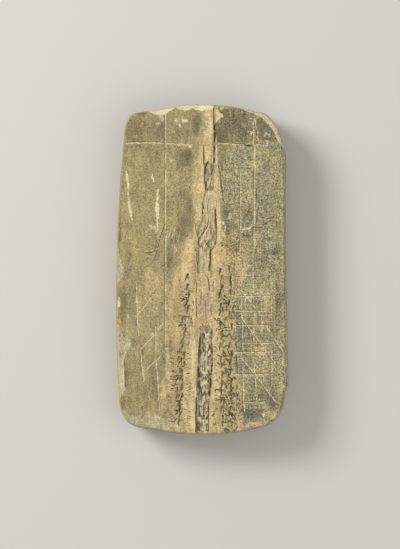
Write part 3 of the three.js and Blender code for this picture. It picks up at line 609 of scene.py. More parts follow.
scars = [  # thin flat scars where the skin is scraped off
    (0.34, 0.10, (-30.1, 39.4), (-29.9, 38.4)),
    (0.50, 0.12, (-29.9, 38.8), (-29.5, 36.0), (-28.9, 31.2)),
    (0.36, 0.10, (-29.0, 31.6), (-28.7, 26.0)),
    (0.66, 0.12, (-28.8, 27.2), (-28.3, 23.2), (-27.8, 20.4)),
    (0.34, 0.10, (-27.8, 20.6), (-27.5, 19.2)), (0.40, 0.10, (-17.5, 32.4), (-17.6, 26.5)),
    (0.74, 0.12, (-17.8, 27.0), (-17.7, 23.0), (-17.6, 19.6)),
    (0.46, 0.10, (-17.8, 19.8), (-17.4, 15.4)), (0.34, 0.08, (-19.0, 17.6), (-17.8, 14.5)),
    (0.34, 0.10, (-19.6, 37.8), (-19.3, 34.6)), (0.60, 0.10, (20.6, 45.0), (20.3, 41.0)),
    (0.42, 0.10, (20.5, 40.8), (20.4, 37.0)), (0.34, 0.12, (21.4, 26.4), (21.3, 23.6)),
    (0.30, 0.10, (5.4, 52.0), (5.5, 47.0), (5.6, 41.5)),
    (0.36, 0.10, (15.2, 14.2), (15.8, 15.5), (17.2, 16.1), (18.6, 15.9), (19.3, 14.8)),
    (0.30, 0.10, (-2.3, -50.0), (-1.3, -48.0), (-1.9, -44.0), (-1.9, -33.0)),
    (0.26, 0.08, (2.9, -25.0), (3.0, -30.0), (3.1, -37.0)),
    (0.26, 0.08, (1.6, -51.0), (1.8, -57.0), (1.6, -63.0)),
]
cracks = [  # sharp dark lines: painted shade along steep walls, with cracks and dark scratches
    (0.26, 0.25, (4.4, 63.6), (4.5, 57.0)), (0.36, 0.40, (4.8, 57.0), (4.6, 54.4)),
    (0.32, 0.40, (4.9, 54.0), (4.7, 51.4), (4.9, 49.6)),
    (0.40, 0.45, (4.7, 49.2), (4.8, 47.0), (4.5, 44.6)), (0.34, 0.40, (4.8, 44.2), (4.6, 41.6)),
    (0.26, 0.30, (0.5, 49.2), (0.55, 45.0), (0.7, 41.0)),
    (0.42, 0.50, (2.5, 42.8), (1.7, 41.2), (1.0, 39.4), (0.85, 37.0), (1.1, 34.4), (1.4, 32.6),
     (1.3, 30.8)),
    (0.26, 0.30, (4.2, 41.3), (3.9, 39.0), (4.1, 36.0), (4.2, 33.5), (4.0, 31.2)),
    (0.30, 0.30, (3.2, 41.2), (4.4, 41.0)),
    (0.18, 0.25, (6.2, 41.0), (6.9, 38.5), (7.2, 36.0), (7.4, 33.6), (7.8, 31.5), (8.1, 29.0), (8.2, 26.4)),
    (0.22, 0.25, (5.4, 28.4), (5.5, 24.5)),
    (0.40, 0.45, (5.2, 24.5), (5.2, 20.0), (5.4, 16.0), (5.4, 12.6), (4.8, 9.4)),
    (0.34, 0.35, (4.8, 9.6), (3.9, 8.2), (3.4, 7.0)),
    (0.24, 0.25, (0.2, 27.0), (0.0, 24.0), (0.4, 21.5)), (0.26, 0.25, (0.2, 25.6), (0.9, 23.4)),
    (0.24, 0.25, (2.6, 19.6), (2.0, 17.2), (1.1, 15.2)),
    (0.36, 0.35, (1.2, 15.6), (0.1, 14.0), (-1.0, 12.4), (-1.5, 11.2), (-1.4, 9.6)),
    (0.26, 0.25, (-2.7, 18.6), (-2.3, 15.4), (-1.7, 12.2)),
    (0.40, 0.35, (0.6, 11.6), (1.5, 10.6), (1.3, 9.0)),
    (0.44, 0.35, (2.4, 11.4), (2.2, 9.8), (2.8, 8.4)), (0.40, 0.35, (3.6, 11.0), (3.8, 9.4)),
    (0.36, 0.3, (-0.2, 9.8), (0.2, 8.4)), (0.45, 0.50, (7.9, 10.3), (7.8, 9.2)),
    (0.34, 0.30, (15.8, 14.0), (16.6, 13.4), (17.8, 13.3), (18.9, 13.9)),
    (0.20, 0.20, (2.6, 28.5), (2.0, 25.0), (2.4, 21.0), (2.7, 19.0)),
    (0.46, 0.50, (3.3, 8.0), (3.2, 5.0), (3.1, 2.6), (2.9, 0.6), (3.1, -0.8)),
    (0.16, 0.10, (-2.5, 9.0), (-2.1, 5.0), (-1.9, 1.0), (-1.8, -1.5)),
    (0.24, 0.35, (1.0, -1.9), (1.7, -2.4), (2.3, -3.6), (2.6, -6.0), (2.9, -8.6)),
    (0.16, 0.15, (-0.3, -8.5), (-0.6, -14.0)),
    (0.16, 0.15, (1.5, -11.5), (1.1, -16.5), (1.6, -21.0)),
    (0.20, 0.20, (-0.4, -20.8), (0.8, -22.6), (2.4, -22.8)), (0.18, 0.15, (4.4, -4.0), (4.2, -9.0)),
    (0.20, 0.20, (-2.1, -4.5), (-2.4, -9.5)), (0.22, 0.22, (-2.4, -10.5), (-2.2, -19.0)),
    (0.22, 0.20, (3.4, -13.5), (3.6, -18.0)),
    (0.30, 0.35, (3.0, -22.7), (3.8, -24.0), (3.6, -28.0)),
    (0.42, 0.60, (3.6, -24.5), (3.5, -28.0), (3.8, -33.5)),
    (0.30, 0.50, (3.8, -34.5), (3.8, -37.0), (3.6, -40.5)),
    (0.26, 0.45, (3.5, -41.5), (3.1, -44.0), (3.0, -48.5)),
    (0.34, 0.45, (2.6, -51.0), (2.3, -56.0), (2.4, -60.0), (2.1, -64.0)),
    (0.30, 0.50, (-0.6, -26.0), (-1.2, -28.5), (-1.2, -31.0)),
    (0.24, 0.45, (-1.3, -32.0), (-1.5, -37.0)), (0.30, 0.50, (-1.5, -38.0), (-1.4, -43.0)),
    (0.32, 0.50, (-1.1, -45.5), (-0.3, -48.5), (0.4, -49.8)),
    (0.42, 0.55, (-2.2, -50.0), (-2.3, -53.0), (-2.4, -57.0), (-2.3, -61.0), (-2.5, -64.5)),
    (0.18, 0.20, (-14.6, 18.5), (-15.6, 15.0), (-16.8, 11.0), (-17.4, 8.8)),
    (0.16, 0.15, (-17.4, 8.4), (-19.2, 3.6)),
    (0.18, 0.18, (-22.8, 6.6), (-20.0, 6.9), (-17.8, 7.4)),
    (0.32, 0.40, (16.8, 48.75), (19.9, 48.8)),
    (0.18, 0.15, (21.1, 33.5), (21.1, 28.0), (21.4, 22.0), (20.9, 15.0)),
    (0.18, 0.12, (19.5, 16.7), (24.0, 16.6)), (0.22, 0.20, (6.4, -44.2), (7.6, -44.8)),
    (0.30, 0.30, (4.9, -46.9), (8.2, -47.3)), (0.30, 0.25, (5.6, -50.6), (7.8, -51.2)),
    (0.20, 0.20, (-14.4, -57.6), (-12.2, -58.6), (-12.1, -60.0)),
    (0.24, 0.20, (-9.9, -57.5), (-7.8, -58.2), (-8.0, -60.0)),
    (0.20, 0.15, (-30.7, -35.0), (-30.4, -41.0), (-30.3, -46.5)),
    (0.22, 0.15, (6.7, 64.6), (6.5, 62.6), (7.6, 61.2)),
]
fan = {
    "count": 16, "headX": -13.9, "footX": -8.6, "y": 16.2, "length": 4.6, "halfWidth": 0.21, "depth": 0.12,
}
paintedHighlightHalfWidth = 0.24  # mm, the painted highlight along the edge of a crack
paintedShadeOff, paintedShadeHalfWidth = 0.36, 0.2  # mm, a thin painted shadow line along the steep side of a ruling, where its wall lies in shade
lattice = {  # faint rulings crossing on the right: from, to, pitch, line from, line to
    "level": [(0.6, -33.5, 2.1, 12.5, 29.5), (-36.0, -56.0, 3.1, 14.0, 29.0),
              (12.0, 3.0, 2.4, 14.0, 26.0)],
    "upright": [(13.4, 30.0, 1.9, 2.0, -33.0), (14.8, 29.0, 3.0, -35.0, -55.0),
                (22.4, 28.0, 2.2, 14.0, 2.0)],
    "halfWidth": 0.17, "depth": 0.07,
}


def makeMarks():  # every line as close points, each with its width, depth, squareness and tone
    lines = [(1.15 * width, depth, 1.8, -1, 0.18, path) for width, depth, *path in cracks]
    for width, depth, *path in cracks:  # a painted highlight along the edge beside each, to its left or above it
        level = abs(path[0][1] - path[-1][1]) < 2
        off = 1.15 * width + paintedHighlightHalfWidth
        side = [(x, y + off) if level else (x - off, y) for x, y in path]
        lines.append((paintedHighlightHalfWidth, 0.02, 1.4, 0.55, 0.14, side))
    lines += [(width, depth, 4.0, 1, 0.12, path) for width, depth, *path in scars]
    pick = np.random.default_rng(7)
    for k in range(fan["count"]):  # a fan of fine scratches
        x = fan["headX"] + (fan["footX"] - fan["headX"]) * k / fan["count"] + pick.uniform(-0.3, 0.3)
        y = fan["y"] + pick.uniform(-1.6, 1.6)
        path = [(x, y), (x + pick.uniform(-1.9, -0.4), y - fan["length"])]
        lines.append((fan["halfWidth"], fan["depth"], 1.3, 1 if k % 2 else -0.5, 0.1, path))
    for kind in ("level", "upright"):
        for first, last, pitch, start, end in lattice[kind]:
            for place in np.arange(first, last, math.copysign(pitch, last - first)):
                place += pick.uniform(-0.5, 0.5)
                low = start + (end - start) * pick.uniform(0, 0.25)
                high = end + (start - end) * pick.uniform(0, 0.25)
                lean = pick.uniform(-0.2, 0.2)
                if kind == "level":
                    path = [(low, place), (high, place + lean)]
                else:
                    path = [(place, low), (place + lean, high)]
                lines.append((lattice["halfWidth"], lattice["depth"], 1.4, 0.5, 0.04, path))
    for width, depth, *path in rulings:
        level = abs(path[0][1] - path[-1][1]) < 2
        # a painted shadow line beside each ruling, to its left or above it
        side = [(x, y + paintedShadeOff) if level else (x - paintedShadeOff, y) for x, y in path]
        lines += [(width, depth, 2.0, 1, 0.05, path), (paintedShadeHalfWidth, 0.04, 1.4, -0.6, 0.05, side)]
    spots, values = [], []
    for number, (width, depth, square, tone, unsteady, path) in enumerate(lines):
        path = np.array(path)
        runs = np.r_[0, np.cumsum(np.linalg.norm(np.diff(path, axis=0), axis=1))]
        r = np.linspace(0, runs[-1], max(6, int(runs[-1] / 0.1)))
        x, y = (np.interp(r, runs, path[:, k]) for k in (0, 1))
        wander = unsteady * waver(r, 0 * r + 9.7 * number, 2.4, 41)
        level = abs(path[0][1] - path[-1][1]) < 2
        x, y = (x, y + wander) if level else (x + wander, y)
        firm = 0.92 + 0.2 * waver(r, 0 * r + 5.3 * number, 1.6, 42)
        ends = smoothStep(np.minimum(r, runs[-1] - r), -0.3, 0.8)
        spots.append(np.column_stack([x, y, 0 * r]) * mm)
        values.append(np.column_stack([width * firm * ends * mm, depth * firm * mm,
                                       square + 0 * r, tone + 0 * r]))
    marks = meshObject("markPaths", np.vstack(spots))
    for column, name in zip(np.vstack(values).T, ("halfWidth", "depth", "square", "tone")):
        setAttribute(marks.data, name, column)
    return marks


# each set of strokes stands in rows down its column; lengths in mm, angles in degrees
strokeSets = [
    # rows, per row, head y, pitch, head x, foot x, spread, angle, spread, shortest, longest, half width
    ("left uprights", 18, 1, -1.6, 3.4, -5.2, -8.9, 0.6, -101, 14, 1.8, 3.2, 0.66),
    ("left second", 15, 1, -11.6, 3.4, -6.6, -9.9, 0.9, -97, 20, 1.2, 2.6, 0.56),
    ("left crowd", 8, 1, -35.2, 3.4, -8.4, -9.2, 1.2, -100, 24, 1.2, 2.4, 0.54),
    ("left head ticks", 5, 1, -4.0, 3.4, -6.4, -7.2, 0.6, 8, 25, 0.9, 1.7, 0.42),
    ("left ticks", 16, 3, -8.0, 3.4, -6.8, -10.2, 1.7, 4, 22, 0.8, 1.9, 0.38),
    ("left slants", 15, 1, -11.8, 3.4, -6.8, -9.0, 1.6, -130, 18, 1.0, 2.2, 0.42),
    ("left inner", 6, 1, -11.8, 3.4, -3.6, -5.0, 0.6, -94, 16, 1.0, 2.2, 0.42),
    ("left outer", 8, 2, -35.6, 3.4, -12.2, -12.6, 0.9, -10, 20, 1.0, 2.2, 0.36),
    ("left hatch", 22, 2, -19.0, 2.0, -5.6, -6.4, 1.2, 6, 22, 0.7, 2.0, 0.26),
    ("left edge hatch", 13, 1, -40.0, 1.8, -12.4, -13.2, 0.9, -8, 18, 0.8, 2.4, 0.26),
    ("right hatch", 13, 1, -26.0, 2.9, 4.9, 4.6, 0.7, -4, 24, 0.6, 1.8, 0.24),
    ("right uprights", 19, 1, 0.8, 3.4, 7.3, 7.9, 0.6, -101, 12, 1.8, 3.0, 0.66),
    ("right second", 18, 1, 1.4, 3.4, 10.8, 11.6, 0.6, -97, 14, 1.5, 2.8, 0.60),
    ("right ticks", 15, 3, -12.6, 3.4, 7.8, 9.8, 2.2, -6, 30, 0.9, 2.0, 0.46),
    ("right slants", 16, 1, -11.0, 3.4, 8.6, 10.0, 2.4, -50, 24, 1.0, 2.4, 0.48),
    ("right inner", 13, 1, -19.6, 3.4, 5.6, 5.2, 0.8, -80, 50, 0.9, 2.0, 0.40),
    ("right crowd", 15, 3, -14.8, 3.4, 10.6, 10.6, 3.4, -74, 40, 1.0, 2.3, 0.46),
]
setNames = ["Rows", "Per row", "Head y", "Pitch", "Head x", "Foot x", "Spread", "Angle", "Angle spread",
            "Shortest", "Longest", "Half width"]
relief = {
    "Grain size": 0.42, "Grain height": 0.045,      # mm, the bite of the stone's own grain
    "Swell size": 5.0, "Swell height": 0.10,        # slow unevenness of a hand-dressed face
    "Rough size": 0.75, "Rough height": 0.6,         # torn floor of the channel
    "Stroke slope": 1.2, "Waver": 0.10,             # depth of a stroke for its half width; its ragged edge
    "Worn height": 0.10,
}
faceLimit = 192000  # triangles
strokePoints = 16   # along each stroke


def makeStrokeRows():  # one set of wedge-shaped strokes in rows, as close points with their widths
    tree = bpy.data.node_groups.new("strokeRows", "GeometryNodeTree")
    face = tree.interface
    for name in setNames:
        kind = "NodeSocketInt" if name in ("Rows", "Per row") else "NodeSocketFloat"
        face.new_socket(name, in_out="INPUT", socket_type=kind)
    face.new_socket("Seed", in_out="INPUT", socket_type="NodeSocketInt")
    face.new_socket("Geometry", in_out="OUTPUT", socket_type="NodeSocketGeometry")
    given = addNode(tree, "NodeGroupInput").outputs

    def maths(operation, a, b=0.0, c=0.0):
        return addNode(tree, "ShaderNodeMath", {0: a, 1: b, 2: c}, operation=operation).outputs[0]

    def pick(low, high, extraSeed):
        seed = maths("ADD", given["Seed"], extraSeed)
        return addNode(tree, "FunctionNodeRandomValue", {2: low, 3: high, "Seed": seed}).outputs[1]

    total = maths("MULTIPLY", given["Rows"], given["Per row"])
    line = addNode(tree, "GeometryNodeMeshLine", {"Count": total, "Offset": (0, 0, 0)})
    index = addNode(tree, "GeometryNodeInputIndex").outputs[0]
    row = maths("FLOOR", maths("DIVIDE", index, given["Per row"]))
    share = maths("DIVIDE", row, maths("SUBTRACT", given["Rows"], 1.0))
    headX, footX = given["Head x"], given["Foot x"]
    drift = maths("MULTIPLY_ADD", maths("SUBTRACT", footX, headX), share, headX)
    x = maths("MULTIPLY_ADD", pick(-1.0, 1.0, 1), given["Spread"], drift)
    fall = maths("MULTIPLY", maths("ADD", row, pick(-0.3, 0.3, 2)), given["Pitch"])
    y = maths("SUBTRACT", given["Head y"], fall)
    place = addNode(tree, "ShaderNodeCombineXYZ",
                    {0: maths("MULTIPLY", x, mm), 1: maths("MULTIPLY", y, mm)})
    spots = addNode(tree, "GeometryNodeSetPosition",
                    {"Geometry": line.outputs[0], "Position": place.outputs[0]})

    stroke = addNode(tree, "GeometryNodeMeshLine",
                     {"Count": strokePoints, "Offset": (1 / (strokePoints - 1), 0, 0)})
    down = maths("DIVIDE", index, strokePoints - 1.0)
    taper = addNode(tree, "GeometryNodeStoreNamedAttribute",
                    {"Geometry": stroke.outputs[0], "Name": "taper", "Value": maths("SUBTRACT", 1.0, down)},
                    data_type="FLOAT", domain="POINT")
    angle = maths("MULTIPLY_ADD", pick(-1.0, 1.0, 3), given["Angle spread"], given["Angle"])
    turn = addNode(tree, "ShaderNodeCombineXYZ", {2: maths("RADIANS", angle)})
    length = maths("MULTIPLY", pick(given["Shortest"], given["Longest"], 4), mm)
    size = addNode(tree, "ShaderNodeCombineXYZ", {0: length, 1: 1.0, 2: 1.0})
    placed = addNode(tree, "GeometryNodeInstanceOnPoints",
                     {"Points": spots.outputs[0], "Instance": taper.outputs[0],
                      "Rotation": turn.outputs[0], "Scale": size.outputs[0]})
    width = maths("MULTIPLY", maths("MULTIPLY", given["Half width"], mm), pick(0.8, 1.15, 5))
    sized = addNode(tree, "GeometryNodeStoreNamedAttribute",
                    {"Geometry": placed.outputs[0], "Name": "headWidth", "Value": width},
                    data_type="FLOAT", domain="INSTANCE")
    real = addNode(tree, "GeometryNodeRealizeInstances", {0: sized.outputs[0]})
    tapers = addNode(tree, "GeometryNodeInputNamedAttribute",
                     {"Name": "taper"}, data_type="FLOAT").outputs[0]
    widths = addNode(tree, "GeometryNodeInputNamedAttribute",
                     {"Name": "headWidth"}, data_type="FLOAT").outputs[0]
    wedge = maths("MULTIPLY", widths, maths("MULTIPLY_ADD", tapers, 0.62, 0.38))
    done = addNode(tree, "GeometryNodeStoreNamedAttribute",
                   {"Geometry": real.outputs[0], "Name": "halfWidth", "Value": wedge},
                   data_type="FLOAT", domain="POINT")
    addNode(tree, "NodeGroupOutput", {0: done.outputs[0]})
    return tree


def makeReliefTree(marks, material):  # carves strokes, marks and grain into the slab
    strokeRows = makeStrokeRows()
    tree = bpy.data.node_groups.new("stoneRelief", "GeometryNodeTree")
    face = tree.interface
    face.new_socket("Geometry", in_out="INPUT", socket_type="NodeSocketGeometry")
    face.new_socket("Marks", in_out="INPUT", socket_type="NodeSocketObject")
    for name in relief:
        face.new_socket(name, in_out="INPUT", socket_type="NodeSocketFloat")
    face.new_socket("Geometry", in_out="OUTPUT", socket_type="NodeSocketGeometry")
    given = addNode(tree, "NodeGroupInput").outputs

    def maths(operation, a, b=0.0, c=0.0, clamp=False):
        node = addNode(tree, "ShaderNodeMath", {0: a, 1: b, 2: c}, operation=operation, use_clamp=clamp)
        return node.outputs[0]

    def vector(operation, a, b=(0, 0, 0)):
        return addNode(tree, "ShaderNodeVectorMath", {0: a, 1: b}, operation=operation)

    def attribute(name):
        return addNode(tree, "GeometryNodeInputNamedAttribute",
                       {"Name": name}, data_type="FLOAT").outputs[0]

    position = addNode(tree, "GeometryNodeInputPosition").outputs[0]

    def noise(size, detail=2.0, where=position):
        frequency = maths("DIVIDE", 1 / mm, size)
        return addNode(tree, "ShaderNodeTexNoise", {"Vector": where, "Scale": frequency, "Detail": detail})

    def store(geometry, name, value):
        return addNode(tree, "GeometryNodeStoreNamedAttribute",
                       {"Geometry": geometry, "Name": name, "Value": value},
                       data_type="FLOAT", domain="POINT").outputs[0]

    def nearest(source, place, names):  # distance to the nearest point of source, and its values
        index = addNode(tree, "GeometryNodeSampleNearest", {"Geometry": source, "Sample Position": place},
                        domain="POINT").outputs[0]
        spot = addNode(tree, "GeometryNodeSampleIndex",
                       {"Geometry": source, "Value": addNode(tree, "GeometryNodeInputPosition").outputs[0],
                        "Index": index}, data_type="FLOAT_VECTOR", domain="POINT").outputs[0]
        away = addNode(tree, "ShaderNodeVectorMath", {0: place, 1: spot},
                       operation="DISTANCE").outputs["Value"]
        values = [addNode(tree, "GeometryNodeSampleIndex",
                          {"Geometry": source, "Value": attribute(n), "Index": index},
                          data_type="FLOAT", domain="POINT").outputs[0] for n in names]
        return away, values

    ragged = vector("SUBTRACT", noise(0.9, 3.0).outputs["Color"], (0.5, 0.5, 0.5)).outputs[0]
    shift = addNode(tree, "ShaderNodeVectorMath",
                    {0: ragged, "Scale": maths("MULTIPLY", given["Waver"], 2 * mm)},
                    operation="SCALE").outputs[0]
    flat = vector("MULTIPLY", vector("ADD", position, shift).outputs[0], (1, 1, 0)).outputs[0]
    onFace = attribute("face")

    sets = []
    for number, (label, *values) in enumerate(strokeSets):
        rows = addNode(tree, "GeometryNodeGroup", dict(zip(setNames, values)) | {"Seed": 100 + 17 * number},
                       node_tree=strokeRows, label=label)
        sets.append(rows.outputs[0])
    strokes = addNode(tree, "GeometryNodeJoinGeometry")
    for made in sets:
        tree.links.new(made, strokes.inputs[0])
    away, (reach,) = nearest(strokes.outputs[0], flat, ["halfWidth"])
    inStroke = maths("SUBTRACT", 1.0, maths("DIVIDE", away, reach), clamp=True)
    # a painted highlight ring just outside each stroke
    fromLip = maths("ABSOLUTE", maths("SUBTRACT", maths("DIVIDE", away, reach), 1.3))
    lip = maths("SUBTRACT", 1.0, maths("MULTIPLY", fromLip, 2.6), clamp=True)
    strokeCut = maths("MULTIPLY", maths("MULTIPLY", inStroke, reach), given["Stroke slope"])

    lines = addNode(tree, "GeometryNodeObjectInfo", {"Object": given["Marks"]})
    away, (reach, depth, square, tone) = nearest(
        lines.outputs["Geometry"], flat, ["halfWidth", "depth", "square", "tone"])
    inMark = maths("SUBTRACT", 1.0, maths("DIVIDE", away, maths("MAXIMUM", reach, 1e-6)), clamp=True)
    inMark = maths("MULTIPLY", inMark, square, clamp=True)
    markCut = maths("MULTIPLY", inMark, depth)
    carved = maths("MULTIPLY", maths("MULTIPLY", maths("MAXIMUM", strokeCut, markCut), onFace), -1.0)

    rough, worn = attribute("rough"), attribute("worn")
    lengthwise = vector("MULTIPLY", position, (1, 0.36, 1)).outputs[0]
    torn = noise(given["Rough size"], 4.0, where=lengthwise).outputs[0]
    torn = addNode(tree, "ShaderNodeMapRange",
                   {"Value": torn, "From Min": 0.43, "From Max": 0.53}).outputs[0]
    pit = maths("MULTIPLY", maths("SUBTRACT", 1.0, torn), rough)
    grain = maths("MULTIPLY", noise(given["Grain size"], 3.0).outputs[0], given["Grain height"])
    swell = maths("MULTIPLY", noise(given["Swell size"], 2.0).outputs[0], given["Swell height"])
    scuffed = maths("MULTIPLY", maths("MULTIPLY", noise(1.6, 4.0).outputs[0], given["Worn height"]),
                    maths("MULTIPLY_ADD", worn, 1.0, 0.25))
    eaten = maths("MULTIPLY", pit, given["Rough height"])
    fineRelief = maths("MULTIPLY", maths("ADD", grain, scuffed), maths("MULTIPLY_ADD", onFace, 0.65, 0.35))
    inward = maths("ADD", maths("ADD", fineRelief, swell), eaten)  # sides and back are left plainer
    normal = addNode(tree, "GeometryNodeInputNormal").outputs[0]
    sink = addNode(tree, "ShaderNodeVectorMath",
                   {0: normal, "Scale": maths("MULTIPLY", inward, -mm)}, operation="SCALE").outputs[0]
    drop = addNode(tree, "ShaderNodeCombineXYZ", {2: carved}).outputs[0]
    offset = vector("ADD", sink, drop).outputs[0]

    geometry = store(given["Geometry"], "cut", maths("MULTIPLY", inStroke, onFace))
    # pale: scored and scraped lines, and the painted highlights beside cracks
    pale = maths("MULTIPLY", inMark, maths("MULTIPLY", maths("MAXIMUM", tone, 0.0), onFace))
    # dark: darkened cracks and scratches, painted shade along steep walls and the painted shadow lines
    # beside rulings
    dark = maths("MAXIMUM", maths("MULTIPLY", tone, -1.0), 0.0)
    dark = maths("MULTIPLY", inMark, maths("MULTIPLY", dark, onFace))
    geometry = store(store(geometry, "pale", pale), "dark", dark)
    geometry = store(store(geometry, "pit", pit), "lip", maths("MULTIPLY", lip, onFace))
    moved = addNode(tree, "GeometryNodeSetPosition", {"Geometry": geometry, "Offset": offset})
    real = addNode(tree, "GeometryNodeRealizeInstances", {0: moved.outputs[0]})
    finished = addNode(tree, "GeometryNodeSetMaterial", {"Geometry": real.outputs[0], "Material": material})
    addNode(tree, "NodeGroupOutput", {0: finished.outputs[0]})
    return tree


# fine-grained stone, hand-dressed and long buried: matt, with a thin patina worn through to a buff body,
# pale where freshly flaked or scored, dark earth left in its cuts, and painted shade and highlights at
# cuts, cracks and steep walls
stoneColours = {
    "warmSkin": "#a29264",    # olive patina of the left half
    "coolSkin": "#868362",    # grey-green patina of the right half
    # dark stain colour, also the painted shadow
    "smudgeAndShade": "#746a4c",
    "blue": "#7e7d66",        # bluish grey of thin damp stains
    "slate": "#615f50",       # the darkest of them
    "olive": "#a09660",
    "buff": "#b9a678",        # half-worn patina
    "worn": "#c6ae7c",        # bare stone, handled smooth
    "shade": "#a39163",       # the same, dulled by use
    "cream": "#dac594",       # the same, rubbed pale
    "rosy": "#bb9f7a",
    "chalk": "#b4ad8e",       # thin limy skin
    "fresh": "#e2d2aa",       # flaked stone
    "specks": "#e2d8b4",
    "rim": "#beb392",
    "floor": "#d2c7a4",       # torn floor of the channel
    "net": "#d5c493",         # fine crazing of the patina
    "earthAndShade": "#463b22",       # soil left in cuts and pits, and painted shade in them and in cracks
}
stoneTones = [  # stain, how much of it shows, how ragged its edge is
    ("smudgeAndShade", 0.95, 0.5), ("blue", 0.52, 0.9), ("slate", 0.7, 0.8), ("olive", 0.75, 0.6),
    ("buff", 0.9, 1.0), ("worn", 0.95, 1.0), ("shade", 0.8, 0.8), ("cream", 0.75, 0.7),
    ("rosy", 0.45, 0.6), ("chalk", 0.8, 0.5), ("rim", 0.45, 0.5), ("fresh", 0.97, 0.25),
    ("specks", 0.9, 0.4),
]
# mm; the stone's own grain is finer than 0.2, and is drawn coarser to show
stoneSizes = {
    "grain": 0.5, "speckle": 1.2, "tinge": 1.8, "mottle": 5.0, "cloud": 14.0, "fibre": 0.8, "streak": 2.6,
}
coolFrom, coolTo = 5.0, 9.5    # mm from the middle, where the patina turns from olive to grey-green
hatchSize = 0.62  # mm, the crossing scratches


